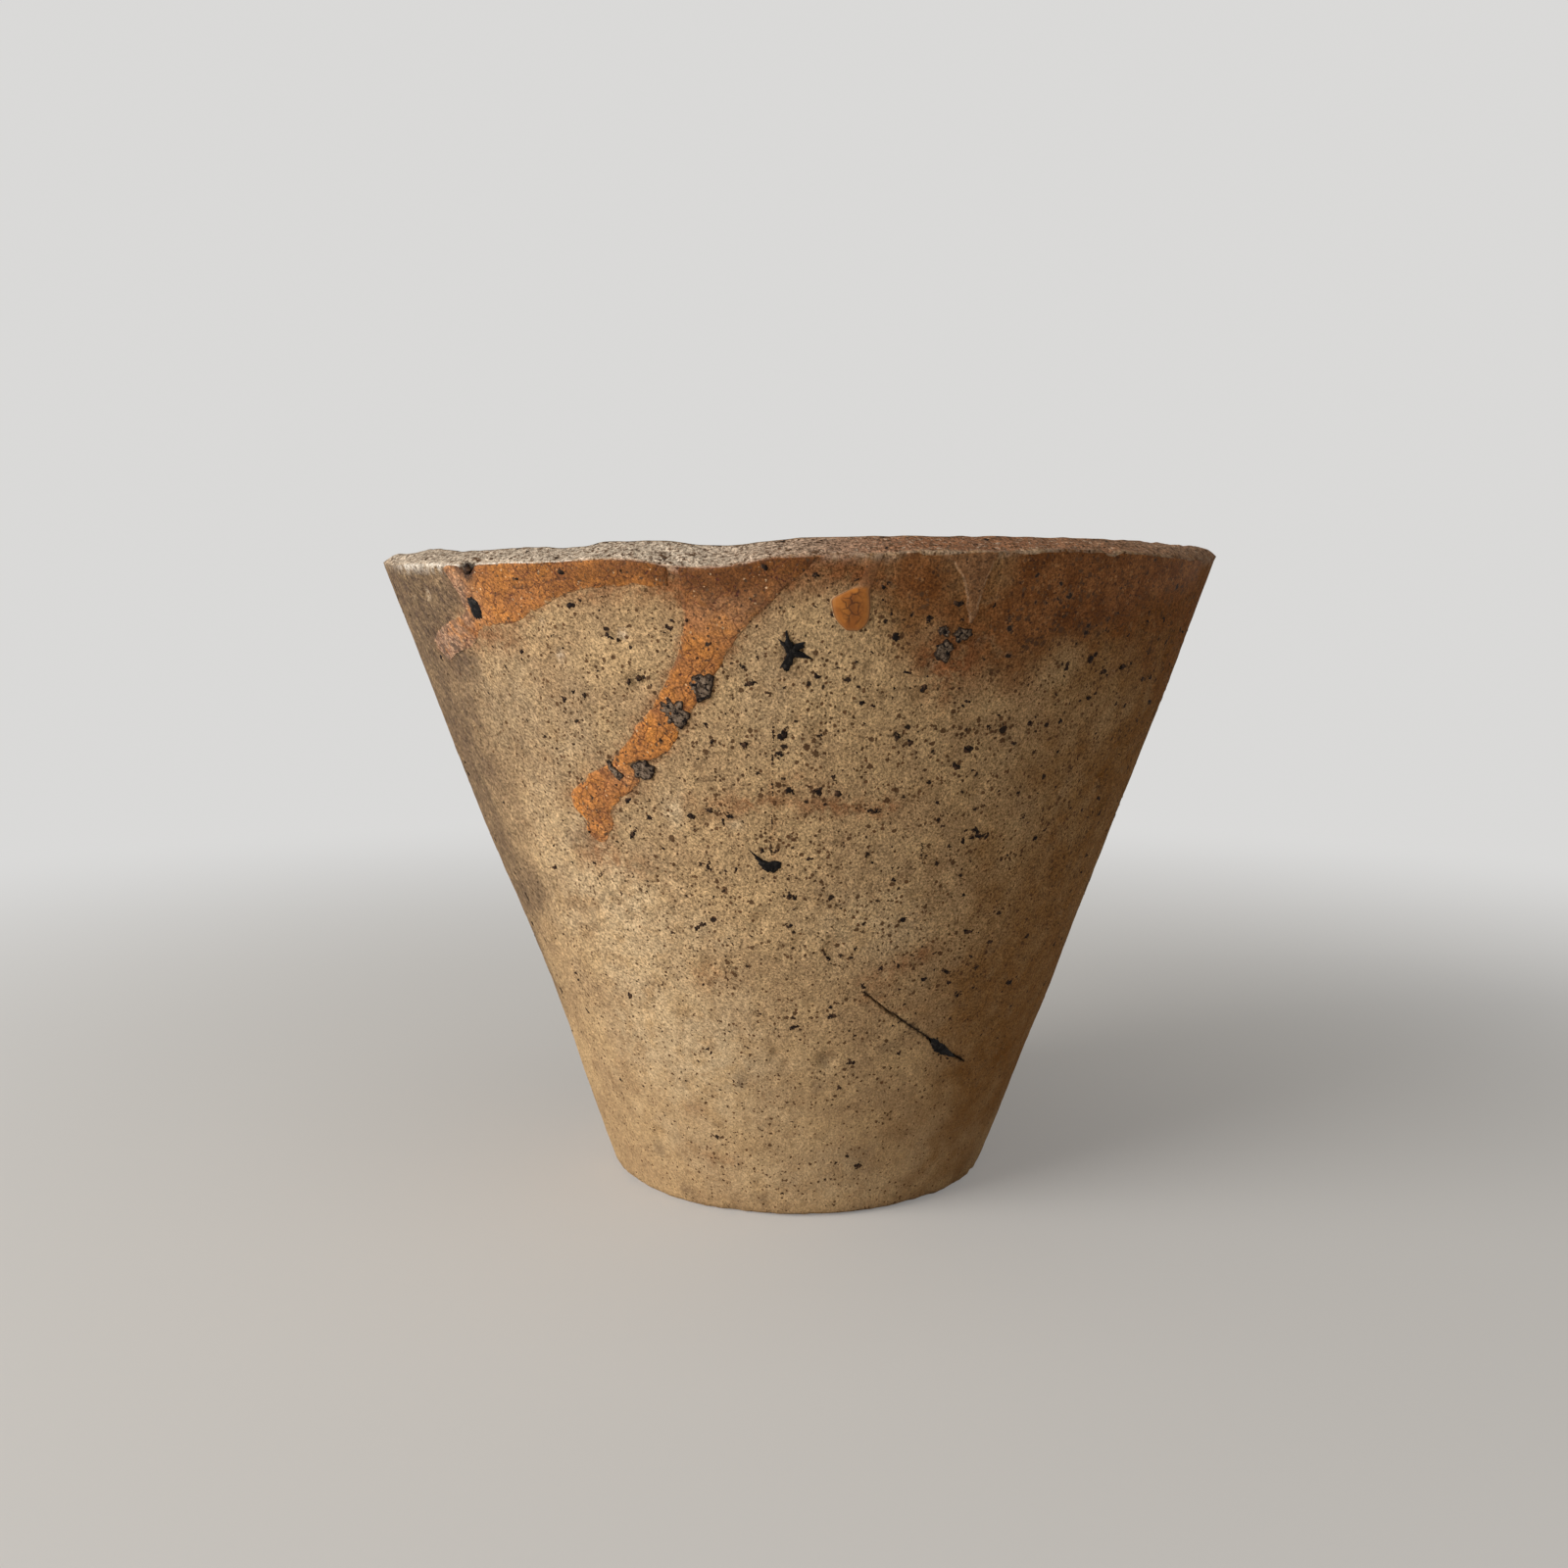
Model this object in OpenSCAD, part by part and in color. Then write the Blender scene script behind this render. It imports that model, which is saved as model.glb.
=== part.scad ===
// Used fireclay crucible: a conical melting pot on a flat foot, with the glass and slag fused to it.
// Millimetres, +Z up. The origin is the centre of the foot's underside.
// Azimuth 0 faces -Y and grows towards +X. A "drop" is a distance straight down from the rim's height.

/* [Vessel] */
// Diameter of the foot
foot_d = 72; // [60:1:84]
// Diameter over the outer edge of the rim
rim_d = 154; // [136:1:176]
// Height of the rim's outer edge above the table
rim_h = 115; // [100:1:135]
// Wall thickness at the rim, square to the wall
wall_rim = 8; // [6:0.5:10]
// Wall thickness at the floor, square to the wall
wall_foot = 10; // [8:0.5:13]
// Thickness of the floor
floor_t = 12; // [9:0.5:16]
// Radius between the inner wall and the floor
inner_fillet = 12; // [6:1:16]
// Radius worn onto the edge of the foot
foot_wear = 0.8; // [0.6:0.2:2.4]
// Tilt of the hand-cut rim, rising towards +X
rim_tilt = 1; // [0:0.25:2]

/* [Rim chips] */
// Azimuth of the broad chip
chip_az = -9; // [-20:1:0]
// Width of the broad chip along the rim
chip_w = 15; // [8:1:22]
// Depth of the broad chip
chip_depth = 1.4; // [0.6:0.2:2.4]
// Radius of the small nicks in the rim's outer edge
nick_r = 1.5; // [0.8:0.1:2.2]

/* [Heat crack] */
// Azimuth of the crack's middle
crack_az = 25; // [15:1:35]
// Height of the crack's middle above the table
crack_h = 36.5; // [30:0.5:44]
// Slope of the crack across the wall
crack_slope = -35; // [-50:1:-20]
// Length of the crack
crack_len = 27; // [16:1:34]
// Greatest depth of the crack
crack_depth = 3; // [1.5:0.5:5]
// Width of the crack
crack_w = 0.6; // [0.3:0.1:1]

/* [Glass] */
// Thickness of the glass lining on the inner wall
lining_t = 0.8; // [0.4:0.1:1.6]
// Depth of the glass pooled on the floor
pool_t = 3; // [1:0.5:6]
// Drop of the lining's upper edge below the rim
lining_drop = 9; // [4:1:20]
// How far the crackled sheet on the left hangs down from the rim
sheet_reach = 16; // [13:0.5:19]
// Thickness of the crackled sheet
sheet_t = 0.7; // [0.4:0.1:1.2]
// How far the long run hangs down from the rim
run_reach = 45.5; // [38:0.5:52]
// Thickness of the long run
run_t = 0.8; // [0.4:0.1:1.4]
// How far the film on the right hangs down from the rim
film_reach = 15.5; // [13:0.5:17.5]
// Thickness of the film
film_t = 0.35; // [0.25:0.05:0.6]
// How far the rivulet beside the film hangs down from the rim
drip_reach = 10.4; // [9:0.2:12]
// Thickness of the rivulet
drip_t = 0.8; // [0.6:0.1:1.2]
// How far the amber drop hangs down from the rim
drop_reach = 11.4; // [9:0.2:14]
// Thickness of the amber drop
drop_t = 1.5; // [1:0.1:2.2]

/* [Slag] */
// Reach of the star-shaped iron bleed, from its middle
star_r = 3.2; // [2:0.2:4.4]
// Half length of the glossy bleb
bleb_r = 2.4; // [1.4:0.2:3.4]
// Half height of the oval in the sheet
oval_r = 2.3; // [1.4:0.1:3]
// Half length of the slag over the crack
cap_r = 3.2; // [1.8:0.2:4]
// Height that slag stands proud of the wall
slag_t = 0.7; // [0.4:0.1:1.2]
// Radius of the largest iron spots
spot_r = 1; // [0.7:0.1:1.3]
// Height that iron spots stand proud
spot_t = 0.3; // [0.2:0.05:0.5]
// Radius of the largest crystal crust
crystal_r = 2.1; // [1.7:0.1:2.3]
// Height that crystal crusts stand proud
crystal_t = 1.1; // [0.9:0.1:1.5]

/* [Hidden] */

foot_r = foot_d / 2;
rim_r = rim_d / 2;
lean = atan2(rim_r - foot_r, rim_h);
// Clay left above the rim before it is cut
rim_waste_h = 6;
// How far a cutting tool runs past what it cuts
over = 10;
round_fn = 360;
// Turns the rim cut about its axis, so that its seam and the wall's don't meet
seam_turn = 50;

// The inner wall runs straight between its points at the rim and at the floor
inner_top = [rim_r - wall_rim * cos(lean), rim_h + wall_rim * sin(lean)];
inner_low = [wall_r(floor_t) - wall_foot * cos(lean), floor_t + wall_foot * sin(lean)];
inner_lean = atan2(inner_top[0] - inner_low[0], inner_top[1] - inner_low[1]);

// A fused deposit lies this far off the wall, so that its flat facets don't cut into the round wall
seat = 0.03;
// Least thickness at a deposit's edge
edge_t = 0.06;
// Glass that ran over the rim starts this far below the rim's outer edge
rim_gap = 0.1;
// How far a bleb that is used as a cutter reaches under the wall
dig = 1;
// Points across a deposit, and steps between two of its stations
across = 8;
steps = 3;

// ---- Wall geometry ----

function wall_r(z) = foot_r + z * tan(lean);

function inner_r(z) = inner_low[0] + (z - inner_low[1]) * tan(inner_lean);

// Height of the rim's outer edge at an azimuth
function rim_z(az) = rim_h + rim_r * sin(az) * tan(rim_tilt) * pow(cos(lean), 2);

// A point off the outer wall: azimuth, height, and distance square to the wall
function on_wall(az, z, off) =
    let (r = wall_r(z) + off * cos(lean))
    [r * sin(az), -r * cos(az), z - off * sin(lean)];

// Moves children to the outer wall: X runs round it, Y up it and Z out of it
module at_wall(az, z) {
    translate(on_wall(az, z, 0))
        rotate([90 - lean, 0, az])
            children();
}

// Moves children to the rim's outer edge: X runs outwards along the cut face, Z out of the face
module at_rim(az) {
    translate([0, 0, rim_h])
        rotate([0, -rim_tilt, 0])
            rotate([0, 0, az - 90])
                translate([rim_r, 0, 0])
                    rotate([0, lean, 0])
                        children();
}

// Centre of a circle that touches a level line at height z and a wall line that leans out by a,
// where foot is the radius at which the two lines meet
function corner_centre(foot, z, a, r) = [foot + r * tan(a) - r / cos(a), z + r];

// ---- Vessel ----

module outer_profile() {
    c = corner_centre(foot_r, 0, lean, foot_wear);
    top = rim_h + rim_waste_h;
    toe = c + foot_wear * [cos(lean), -sin(lean)];
    polygon([[0, 0], [c[0], 0], toe, [wall_r(top), top], [0, top]]);
    translate(c)
        circle(foot_wear, $fn = round_fn);
}

// The hollow, with its wall moved in and its floor lifted, up to height top
module hollow_profile(inset, lift, top) {
    z = floor_t + lift;
    shift = inset / cos(inner_lean);
    c = corner_centre(inner_r(z) - shift, z, inner_lean, inner_fillet);
    bend = c + inner_fillet * [cos(inner_lean), -sin(inner_lean)];
    polygon([[0, z], [c[0], z], bend, [inner_r(top) - shift, top], [0, top]]);
    translate(c)
        circle(inner_fillet, $fn = round_fn);
}

module outside() {
    rotate_extrude($fn = round_fn)
        outer_profile();
}

module hollow(inset, lift, top) {
    rotate_extrude($fn = round_fn)
        hollow_profile(inset, lift, top);
}

// Everything above the rim's face, which is cut square to the wall
module rim_cut() {
    far = rim_r + over;
    top = rim_h + rim_r;
    translate([0, 0, rim_h])
        rotate([0, -rim_tilt, 0])
            rotate([0, 0, seam_turn])
                translate([0, 0, -rim_h])
                    rotate_extrude($fn = round_fn)
                        polygon([[0, rim_h + rim_r * tan(lean)], [far, rim_h - over * tan(lean)],
                                 [far, top], [0, top]]);
}

// A shallow scallop that a broad flake left across the whole rim
module broad_chip() {
    r = (chip_w * chip_w / 4 + chip_depth * chip_depth) / (2 * chip_depth);
    at_rim(chip_az)
        translate([over, 0, r - chip_depth])
            rotate([0, -90, 0])
                cylinder(h = wall_rim + 2 * over, r = r, $fn = round_fn);
}

// A nick in the rim's outer edge: azimuth, and its radius and its middle along the face against nick_r
module nick(az, size, along) {
    at_rim(az)
        translate([along * nick_r, 0, 0.2 * nick_r])
            sphere(size * nick_r, $fn = 32);
}

module rim_waste() {
    rim_cut();
    broad_chip();
    nick(-42.5, 1.1, -0.27);
    nick(-3.8, 0.7, 0.07);
    nick(38, 1.3, 0.6);
    nick(118, 1.5, 0.4);
    nick(-151, 1.2, 0.27);
}

// A wheel-shaped cut: deepest in the middle of the crack and running out at both of its ends
module heat_crack() {
    half = crack_len / 2;
    bulge = half * half * pow(cos(crack_slope), 2) * cos(lean) / (2 * wall_r(crack_h));
    r = half * half / (2 * max(crack_depth - bulge, 0.3));
    at_wall(crack_az, crack_h)
        rotate([0, 0, crack_slope])
            translate([0, 0, r - crack_depth])
                rotate([90, 0, 0])
                    cylinder(h = crack_w, r = r, center = true, $fn = round_fn);
}

// ---- Deposits ----

// A smooth curve through the points p, at fraction t of the span after point i
function spline(p, i, t) =
    let (n = len(p) - 1, a = p[max(i - 1, 0)], b = p[i], c = p[min(i + 1, n)], d = p[min(i + 2, n)])
    b + 0.5 * t * (c - a + t * (2 * a - 5 * b + 4 * c - d + t * (3 * (b - c) + d - a)));

function smooth(p) =
    [for (i = [0 : len(p) - 2]) for (j = [0 : steps - 1]) spline(p, i, j / steps), p[len(p) - 1]];

// Share of the full thickness at fraction u of the way across: flat-topped with rolled edges
function swell(u) = sqrt(1 - pow(abs(2 * u - 1), 4));

function quad(a, b, c, d) = [[a, b, c], [a, c, d]];

// A row of points on the wall, across a station [az, share of reach, az, share of reach, share of t],
// each raised by the thickness there times the share lift
function row(s, reach, t, lift) =
    [for (j = [0 : across])
        let (u = (1 - cos(180 * j / across)) / 2, az = s[0] + (s[2] - s[0]) * u,
             drop = rim_gap + reach * (s[1] + (s[3] - s[1]) * u))
        on_wall(az, rim_z(az) - drop, seat + lift * (edge_t + t * s[4] * swell(u)))];

function reversed(v) = [for (i = [len(v) - 1 : -1 : 0]) v[i]];

// A sheet of glass that lies on the wall between two edges, down to reach below the rim and t thick
module ribbon(stations, reach, t) {
    st = smooth(stations);
    m = 2 * (across + 1);
    last = (len(st) - 1) * m;
    points = [for (s = st) each concat(row(s, reach, t, 1), reversed(row(s, reach, t, 0)))];
    skin = [for (i = [0 : m : last - 1]) for (j = [0 : m - 1])
        each quad(i + j, i + (j + 1) % m, i + m + (j + 1) % m, i + m + j)];
    start = [for (j = [0 : across - 1]) each quad(j + 1, j, m - 1 - j, m - 2 - j)];
    finish = [for (j = [0 : across - 1])
        each quad(last + j, last + j + 1, last + m - 2 - j, last + m - 1 - j)];
    polyhedron(points, concat(skin, start, finish), convexity = 6);
}

function sum(v, i = 0) = i < len(v) ? v[i] + sum(v, i + 1) : 0;

// Outline of a bleb at angle a: 1, with a share added for each lobe [count, share, turn]
function lobed(a, lobes) = 1 + sum([for (l = lobes) l[1] * cos(l[0] * (a - l[2]))]);

// The rings of points of a bleb, from its middle out
function rings(az, drop, rx, ry, turn, t, lobes, sides, count, base, lift) =
    [for (k = [1 : count]) for (i = [0 : sides - 1])
        let (a = 360 * i / sides, f = k / count, g = f * lobed(a, lobes),
             x = g * rx * cos(a), y = g * ry * sin(a),
             z = rim_z(az) - drop + (x * sin(turn) + y * cos(turn)) * cos(lean))
        on_wall(az + (x * cos(turn) - y * sin(turn)) / wall_r(z) * 180 / PI, z,
                base + lift * (edge_t + t * sqrt(1 - f * f)))];

// A domed bleb on the wall: half length rx, half width ry, turned on the wall, t thick,
// or a cutter of its outline
module bleb(az, drop, rx, ry, turn, t, lobes = [], sides = 24, count = 3, cutter = false) {
    z = rim_z(az) - drop;
    low = cutter ? -dig : seat;
    top = rings(az, drop, rx, ry, turn, t, lobes, sides, count, seat, 1);
    base = rings(az, drop, rx, ry, turn, t, lobes, sides, count, low, 0);
    points = concat([on_wall(az, z, seat + edge_t + t)], top, [on_wall(az, z, low)], base);
    under = 1 + len(top);
    cap = [for (i = [0 : sides - 1]) let (j = (i + 1) % sides)
        each [[0, 1 + j, 1 + i], [under, under + 1 + i, under + 1 + j]]];
    skin = [for (k = [0 : count - 2]) for (i = [0 : sides - 1])
        let (a = 1 + k * sides + i, b = 1 + k * sides + (i + 1) % sides)
        each concat(quad(a, b, b + sides, a + sides),
                    quad(under + b, under + a, under + a + sides, under + b + sides))];
    rim_row = 1 + (count - 1) * sides;
    edge = [for (i = [0 : sides - 1]) let (a = rim_row + i, b = rim_row + (i + 1) % sides)
        each quad(a, b, under + b, under + a)];
    polyhedron(points, concat(cap, skin, edge), convexity = 6);
}

// Stations run from one end of a deposit to the other, each across it from edge to edge:
// [azimuth and share of the reach of one edge, the same of the other edge, share of the thickness]
SHEET = [[-15.6, 0.26, -15.6, 0, 0.3], [-19, 0.275, -19, 0, 0.9], [-25, 0.3, -25, 0, 1],
         [-30, 0.355, -30, 0, 1], [-33.5, 0.49, -33.5, 0, 1], [-38, 0.63, -38, 0, 1], [-43, 0.72, -43, 0, 1],
         [-47, 0.79, -46.5, 0.025, 0.9], [-51, 0.9, -49.5, 0.51, 0.7], [-55, 1, -54.5, 0.68, 0.5],
         [-60, 0.93, -60, 0.79, 0.1]];

RUN = [[2, 0, -14, 0, 0.6], [-0.7, 0.075, -13.7, 0.086, 0.9], [-6.9, 0.24, -14, 0.24, 1],
       [-9.5, 0.34, -15.5, 0.34, 1], [-12.2, 0.44, -18.4, 0.46, 1], [-15.5, 0.59, -22, 0.56, 1],
       [-19.5, 0.685, -26.2, 0.67, 1], [-23, 0.755, -30.4, 0.735, 1], [-25.5, 0.825, -35.3, 0.81, 1],
       [-28.5, 0.9, -36.9, 0.89, 1], [-31, 0.967, -35.5, 0.967, 0.6], [-32.5, 1, -34, 1, 0.1]];

FILM_LEFT = [[10, 0.25, 10, 0, 0.2], [12.5, 0.51, 12.5, 0, 1], [15, 0.59, 15, 0, 1],
             [17.4, 0.55, 17.4, 0, 0.6]];

FILM_RIGHT = [[22.8, 0.8, 22.6, 0, 0.6], [26, 1, 26, 0, 1], [34, 0.9, 34, 0, 1], [42, 0.77, 42, 0, 1],
              [50, 0.58, 50, 0, 1], [58, 0.48, 58, 0, 1], [64, 0.35, 64, 0, 0.2]];

DRIP = [[21.8, 0, 18.2, 0, 0.8], [21, 0.38, 18.4, 0.38, 1], [20.7, 0.72, 18.3, 0.72, 1],
        [20.4, 0.92, 18.8, 0.92, 0.8], [20, 1, 19.2, 1, 0.1]];

DROP = [[8.8, 0, 7, 0, 0.2], [8.2, 0.28, 7, 0.28, 0.25], [7.8, 0.42, 4.8, 0.42, 0.6],
        [7.8, 0.58, 3.2, 0.58, 1], [7.7, 0.74, 3.2, 0.74, 1], [7, 0.91, 4.1, 0.91, 0.8], [6.2, 1, 5, 1, 0.1]];

// Larger iron spots: [azimuth, share of a reach, radius against spot_r]. On the bare clay their reach is
// the rim's height, and in or beside a deposit it is the deposit's own.
CLAY_SPOTS = [[11, 0.106, 1], [15.2, 0.174, 0.8], [-20.5, 0.157, 0.7], [40, 0.143, 1], [43.5, 0.162, 0.9],
              [-2.6, 0.235, 1], [2.4, 0.311, 0.9], [5, 0.315, 0.9]];
SHEET_SPOTS = [[-27.9, 0.43, 0.9], [-28, 0.125, 0.8], [-34.7, 0.19, 0.6]];
RUN_SPOTS = [[-4.2, 0.1, 0.6]];
FILM_SPOTS = [[33, 0.61, 0.7]];

// Grey crystal crusts, in the long run and below the rivulet:
// [azimuth, share of reach, radius against crystal_r]
RUN_CRYSTALS = [[-16.2, 0.51, 0.9], [-12.6, 0.417, 0.8], [-22, 0.712, 0.7], [-26.6, 0.722, 0.5]];
DRIP_CRYSTALS = [[19.2, 1.16, 0.55], [17.2, 1.385, 0.7], [16.8, 1.1, 0.38]];

module spot_beads(spots, reach, cutter = false) {
    for (s = spots)
        bleb(s[0], s[1] * reach, s[2] * spot_r, s[2] * spot_r, 0, spot_t + sheet_t, [], 12, 2, cutter);
}

module crystal_beads(crystals, reach, cutter = false) {
    for (s = crystals)
        bleb(s[0], s[1] * reach, s[2] * crystal_r, s[2] * crystal_r, 90 * s[2], crystal_t,
             [[3, 0.12, s[0]], [4, 0.1, 0]], 14, 2, cutter);
}

module oval_bead(cutter = false) {
    bleb(-44, 0.44 * sheet_reach, 0.72 * oval_r, oval_r, 8, slag_t + sheet_t, [[3, 0.05, 20]],
         cutter = cutter);
}

// ---- Nodes ----

module crucible_body() {
    color("tan")
        difference() {
            outside();
            hollow(0, 0, rim_h + 3 * rim_waste_h);
            rim_waste();
            heat_crack();
        }
}

module glaze_lining() {
    top = rim_h - lining_drop;
    color("sienna")
        difference() {
            hollow(0, 0, top);
            hollow(lining_t, pool_t, top + over);
        }
}

module glaze_sheet_left() {
    color("peru")
        difference() {
            ribbon(SHEET, sheet_reach, sheet_t);
            rim_waste();
            oval_bead(cutter = true);
            spot_beads(SHEET_SPOTS, sheet_reach, cutter = true);
        }
}

module glaze_run_centre() {
    color("chocolate")
        difference() {
            ribbon(RUN, run_reach, run_t);
            rim_waste();
            crystal_beads(RUN_CRYSTALS, run_reach, cutter = true);
            spot_beads(RUN_SPOTS, run_reach, cutter = true);
        }
}

module glaze_film_right() {
    color("saddlebrown")
        difference() {
            union() {
                ribbon(FILM_LEFT, film_reach, film_t);
                ribbon(FILM_RIGHT, film_reach, film_t);
            }
            rim_waste();
            spot_beads(FILM_SPOTS, film_reach, cutter = true);
        }
}

module glaze_drip_right() {
    color("burlywood")
        ribbon(DRIP, drip_reach, drip_t);
}

module glaze_drop_amber() {
    color("darkorange")
        ribbon(DROP, drop_reach, drop_t);
}

module slag_star() {
    color("black")
        bleb(-1.4, 0.122 * rim_h, star_r, star_r, 90, slag_t, [[4, 0.34, 12], [3, 0.2, 0], [1, 0.15, 200]]);
}

module slag_bleb() {
    color("black")
        bleb(-5.2, 0.414 * rim_h, bleb_r, 0.55 * bleb_r, -14, slag_t, [[1, 0.15, 0], [3, 0.12, 60]]);
}

module slag_oval() {
    color("black")
        oval_bead();
}

// Slag that lies over the crack's lower end
module slag_crack_cap() {
    along = 0.3 * crack_len * cos(crack_slope) / wall_r(crack_h) * 180 / PI;
    up = 0.3 * crack_len * sin(crack_slope) * cos(lean);
    az = crack_az + along;
    color("black")
        bleb(az, rim_z(az) - crack_h - up, cap_r, 0.3 * cap_r, crack_slope, slag_t);
}

module iron_spots() {
    color("dimgray")
        union() {
            spot_beads(CLAY_SPOTS, rim_h);
            spot_beads(SHEET_SPOTS, sheet_reach);
            spot_beads(RUN_SPOTS, run_reach);
            spot_beads(FILM_SPOTS, film_reach);
        }
}

module ash_crystals() {
    color("gray")
        union() {
            crystal_beads(RUN_CRYSTALS, run_reach);
            crystal_beads(DRIP_CRYSTALS, drip_reach);
        }
}

crucible_body();
glaze_lining();
glaze_sheet_left();
glaze_run_centre();
glaze_film_right();
glaze_drip_right();
glaze_drop_amber();
slag_star();
slag_bleb();
slag_oval();
slag_crack_cap();
iron_spots();
ash_crystals();
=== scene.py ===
"""A used fireclay crucible: its skin, the glass and slag on it, and their finishes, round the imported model.

Lengths are in millimetres until mesh_piece() makes a mesh. Azimuth 0 faces -Y and grows towards +X.
A "drop" is a distance straight down from the rim's outer edge, as it was before chips.
"""
from itertools import product
from math import atan2, cos, degrees, exp, pi, radians, sin, sqrt, tan

import bpy
import numpy as np
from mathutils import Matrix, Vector, kdtree


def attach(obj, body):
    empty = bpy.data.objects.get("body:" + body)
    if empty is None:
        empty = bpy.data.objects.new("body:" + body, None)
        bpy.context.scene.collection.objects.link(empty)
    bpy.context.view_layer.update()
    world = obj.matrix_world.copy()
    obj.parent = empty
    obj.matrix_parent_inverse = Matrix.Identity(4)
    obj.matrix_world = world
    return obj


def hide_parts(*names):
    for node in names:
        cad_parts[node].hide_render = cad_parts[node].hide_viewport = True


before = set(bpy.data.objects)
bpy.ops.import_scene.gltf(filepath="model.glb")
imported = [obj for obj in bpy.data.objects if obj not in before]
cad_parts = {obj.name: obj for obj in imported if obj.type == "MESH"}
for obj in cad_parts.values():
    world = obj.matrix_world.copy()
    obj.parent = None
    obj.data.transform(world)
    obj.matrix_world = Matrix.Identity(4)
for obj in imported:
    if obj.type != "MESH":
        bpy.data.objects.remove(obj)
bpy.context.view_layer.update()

MM = 0.001
ROOT = "root"

# ---- The vessel's sizes, as in the CAD source ----

FOOT_R, RIM_R, RIM_H = 36.0, 77.0, 115.0
WALL_RIM, WALL_FOOT, FLOOR_T, FILLET = 8.0, 10.0, 12.0, 12.0
FOOT_WEAR = 0.8
RIM_TILT = radians(1)
LEAN = atan2(RIM_R - FOOT_R, RIM_H)
INNER_TOP = (RIM_R - WALL_RIM * cos(LEAN), RIM_H + WALL_RIM * sin(LEAN))
INNER_LOW = (FOOT_R + FLOOR_T * tan(LEAN) - WALL_FOOT * cos(LEAN),
             FLOOR_T + WALL_FOOT * sin(LEAN))
INNER_LEAN = atan2(INNER_TOP[0] - INNER_LOW[0], INNER_TOP[1] - INNER_LOW[1])
LINING_T, POOL_T, LINING_DROP = 0.8, 3.0, 9.0

# How many faces run round the vessel, and how many rows climb its outer wall and cross its rim
AROUND, WALL_ROWS, RIM_ROWS = 600, 130, 15
# How many small iron flakes are tried over the whole wall
FLAKES = 1800
# How far the photographed wall leans over below its rim, and the hollow in its left side:
# its depth, and its middle and reach as [azimuth, height]
LEAN_OVER, HOLLOW_DEPTH = 0.4, 1.5
HOLLOW_MIDDLE, HOLLOW_REACH = (-95, 38), (45, 24)


# ---- Noise and placing ----

def lattice(corner, seed):
    """A fixed number from 0 to 1 for each whole-number point."""
    n = corner[..., 0] * 374761393 + corner[..., 1] * 668265263 + corner[..., 2] * 974634777 + seed * 60493
    n = n & 0xFFFFFFFF
    n = ((n ^ (n >> 13)) * 1274126177) & 0xFFFFFFFF
    return ((n ^ (n >> 16)) & 0xFFFF) / 0xFFFF


def lumps(points, size, seed):
    """Smooth noise from -1 to 1 at points, with lumps about that size across."""
    q = points / size
    low = np.floor(q).astype(np.int64)
    f = q - low
    w = f * f * (3 - 2 * f)
    total = 0
    for corner in product((0, 1), repeat=3):
        share = np.prod(np.where(corner, w, 1 - w), axis=-1)
        total = total + share * lattice(low + np.array(corner), seed)
    return 2 * total - 1


def smoothstep(low, high, x):
    t = np.clip((x - low) / (high - low), 0, 1)
    return t * t * (3 - 2 * t)


def wall_r(z):
    return FOOT_R + z * tan(LEAN)


def inner_r(z):
    return INNER_LOW[0] + (z - INNER_LOW[1]) * tan(INNER_LEAN)


def rim_z(az):
    """Height of the rim's outer edge at an azimuth, before chips."""
    return RIM_H + RIM_R * np.sin(np.radians(az)) * tan(RIM_TILT) * cos(LEAN) ** 2


def ring(az, r, z):
    a = np.radians(az)
    return np.stack(np.broadcast_arrays(r * np.sin(a), -r * np.cos(a), z), axis=-1)


def near(az, middle):
    """Degrees from an azimuth, from -180 to 180."""
    return (az - middle + 180) % 360 - 180


def relief(az, z):
    """How far the hand-pressed wall stands off its true cone: hardly outwards at the rim."""
    p = ring(az, wall_r(z), z)
    level = 0.22 * lumps(p, 31, 1) + 0.13 * lumps(p, 12, 2)
    calm = smoothstep(85, 110, z)
    return level * (1 - 0.75 * calm) - 0.14 * calm


def on_wall(az, z, off):
    """Points off the outer wall as it really lies, at a distance square to the wall."""
    total = off + relief(az, z)
    return ring(az, wall_r(z) + total * cos(LEAN), z - total * sin(LEAN))


# Dips in the rim's two edges: [azimuth, half width in degrees, depth]. A negative depth is a rise.
OUTER_DIPS = [
    [-35, 17, 0.5], [-11, 6.5, 1.35], [-5, 14, 0.6], [-43, 1.3, 1.5], [34, 5, -0.35], [38.3, 1.3, 0.75],
    [58, 14, 0.75], [76, 6, -0.35], [-75.5, 8, -1.1], [118, 2.2, 1.1], [160, 6, 0.5], [-151, 2, 0.9],
    [-105, 7, 0.5]]
INNER_DIPS = [
    [-9.5, 5.5, 0.65], [-17.5, 3, -0.3], [-23.5, 4, -0.35], [-30.5, 4, 0.35], [-68, 10, -1],
    [20, 22, -0.25], [-96, 3, 0.4], [118, 5, 0.6], [171, 4, 0.8], [-140, 9, 0.4]]

# The azimuth of the nick in the rim, painted black: dark iron, and painted shade in its hollow
NICK = -43.2


def dips(az, hollows):
    return sum(depth * np.exp(-np.abs(near(az, a) / w) ** 3) for a, w, depth in hollows)


def edge_z(az):
    """Height of the rim's outer edge with its chips."""
    p = ring(az, RIM_R, RIM_H)
    ragged = 0.14 * lumps(p, 2.0, 3) + 0.11 * lumps(p, 6, 4)
    return rim_z(az) + 0.12 - dips(az, OUTER_DIPS) - ragged


# ---- Meshes ----

def placed(name, data):
    """A new object in the scene, which shows a mesh, camera or lamp."""
    made = bpy.data.objects.new(name, data)
    bpy.context.scene.collection.objects.link(made)
    return made


def mesh_piece(name, points, faces):
    """A smooth piece from points in millimetres and faces."""
    mesh = bpy.data.meshes.new(name)
    mesh.from_pydata((np.asarray(points) * MM).tolist(), [], faces)
    mesh.validate()
    mesh.shade_smooth()
    return placed(name, mesh)


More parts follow.
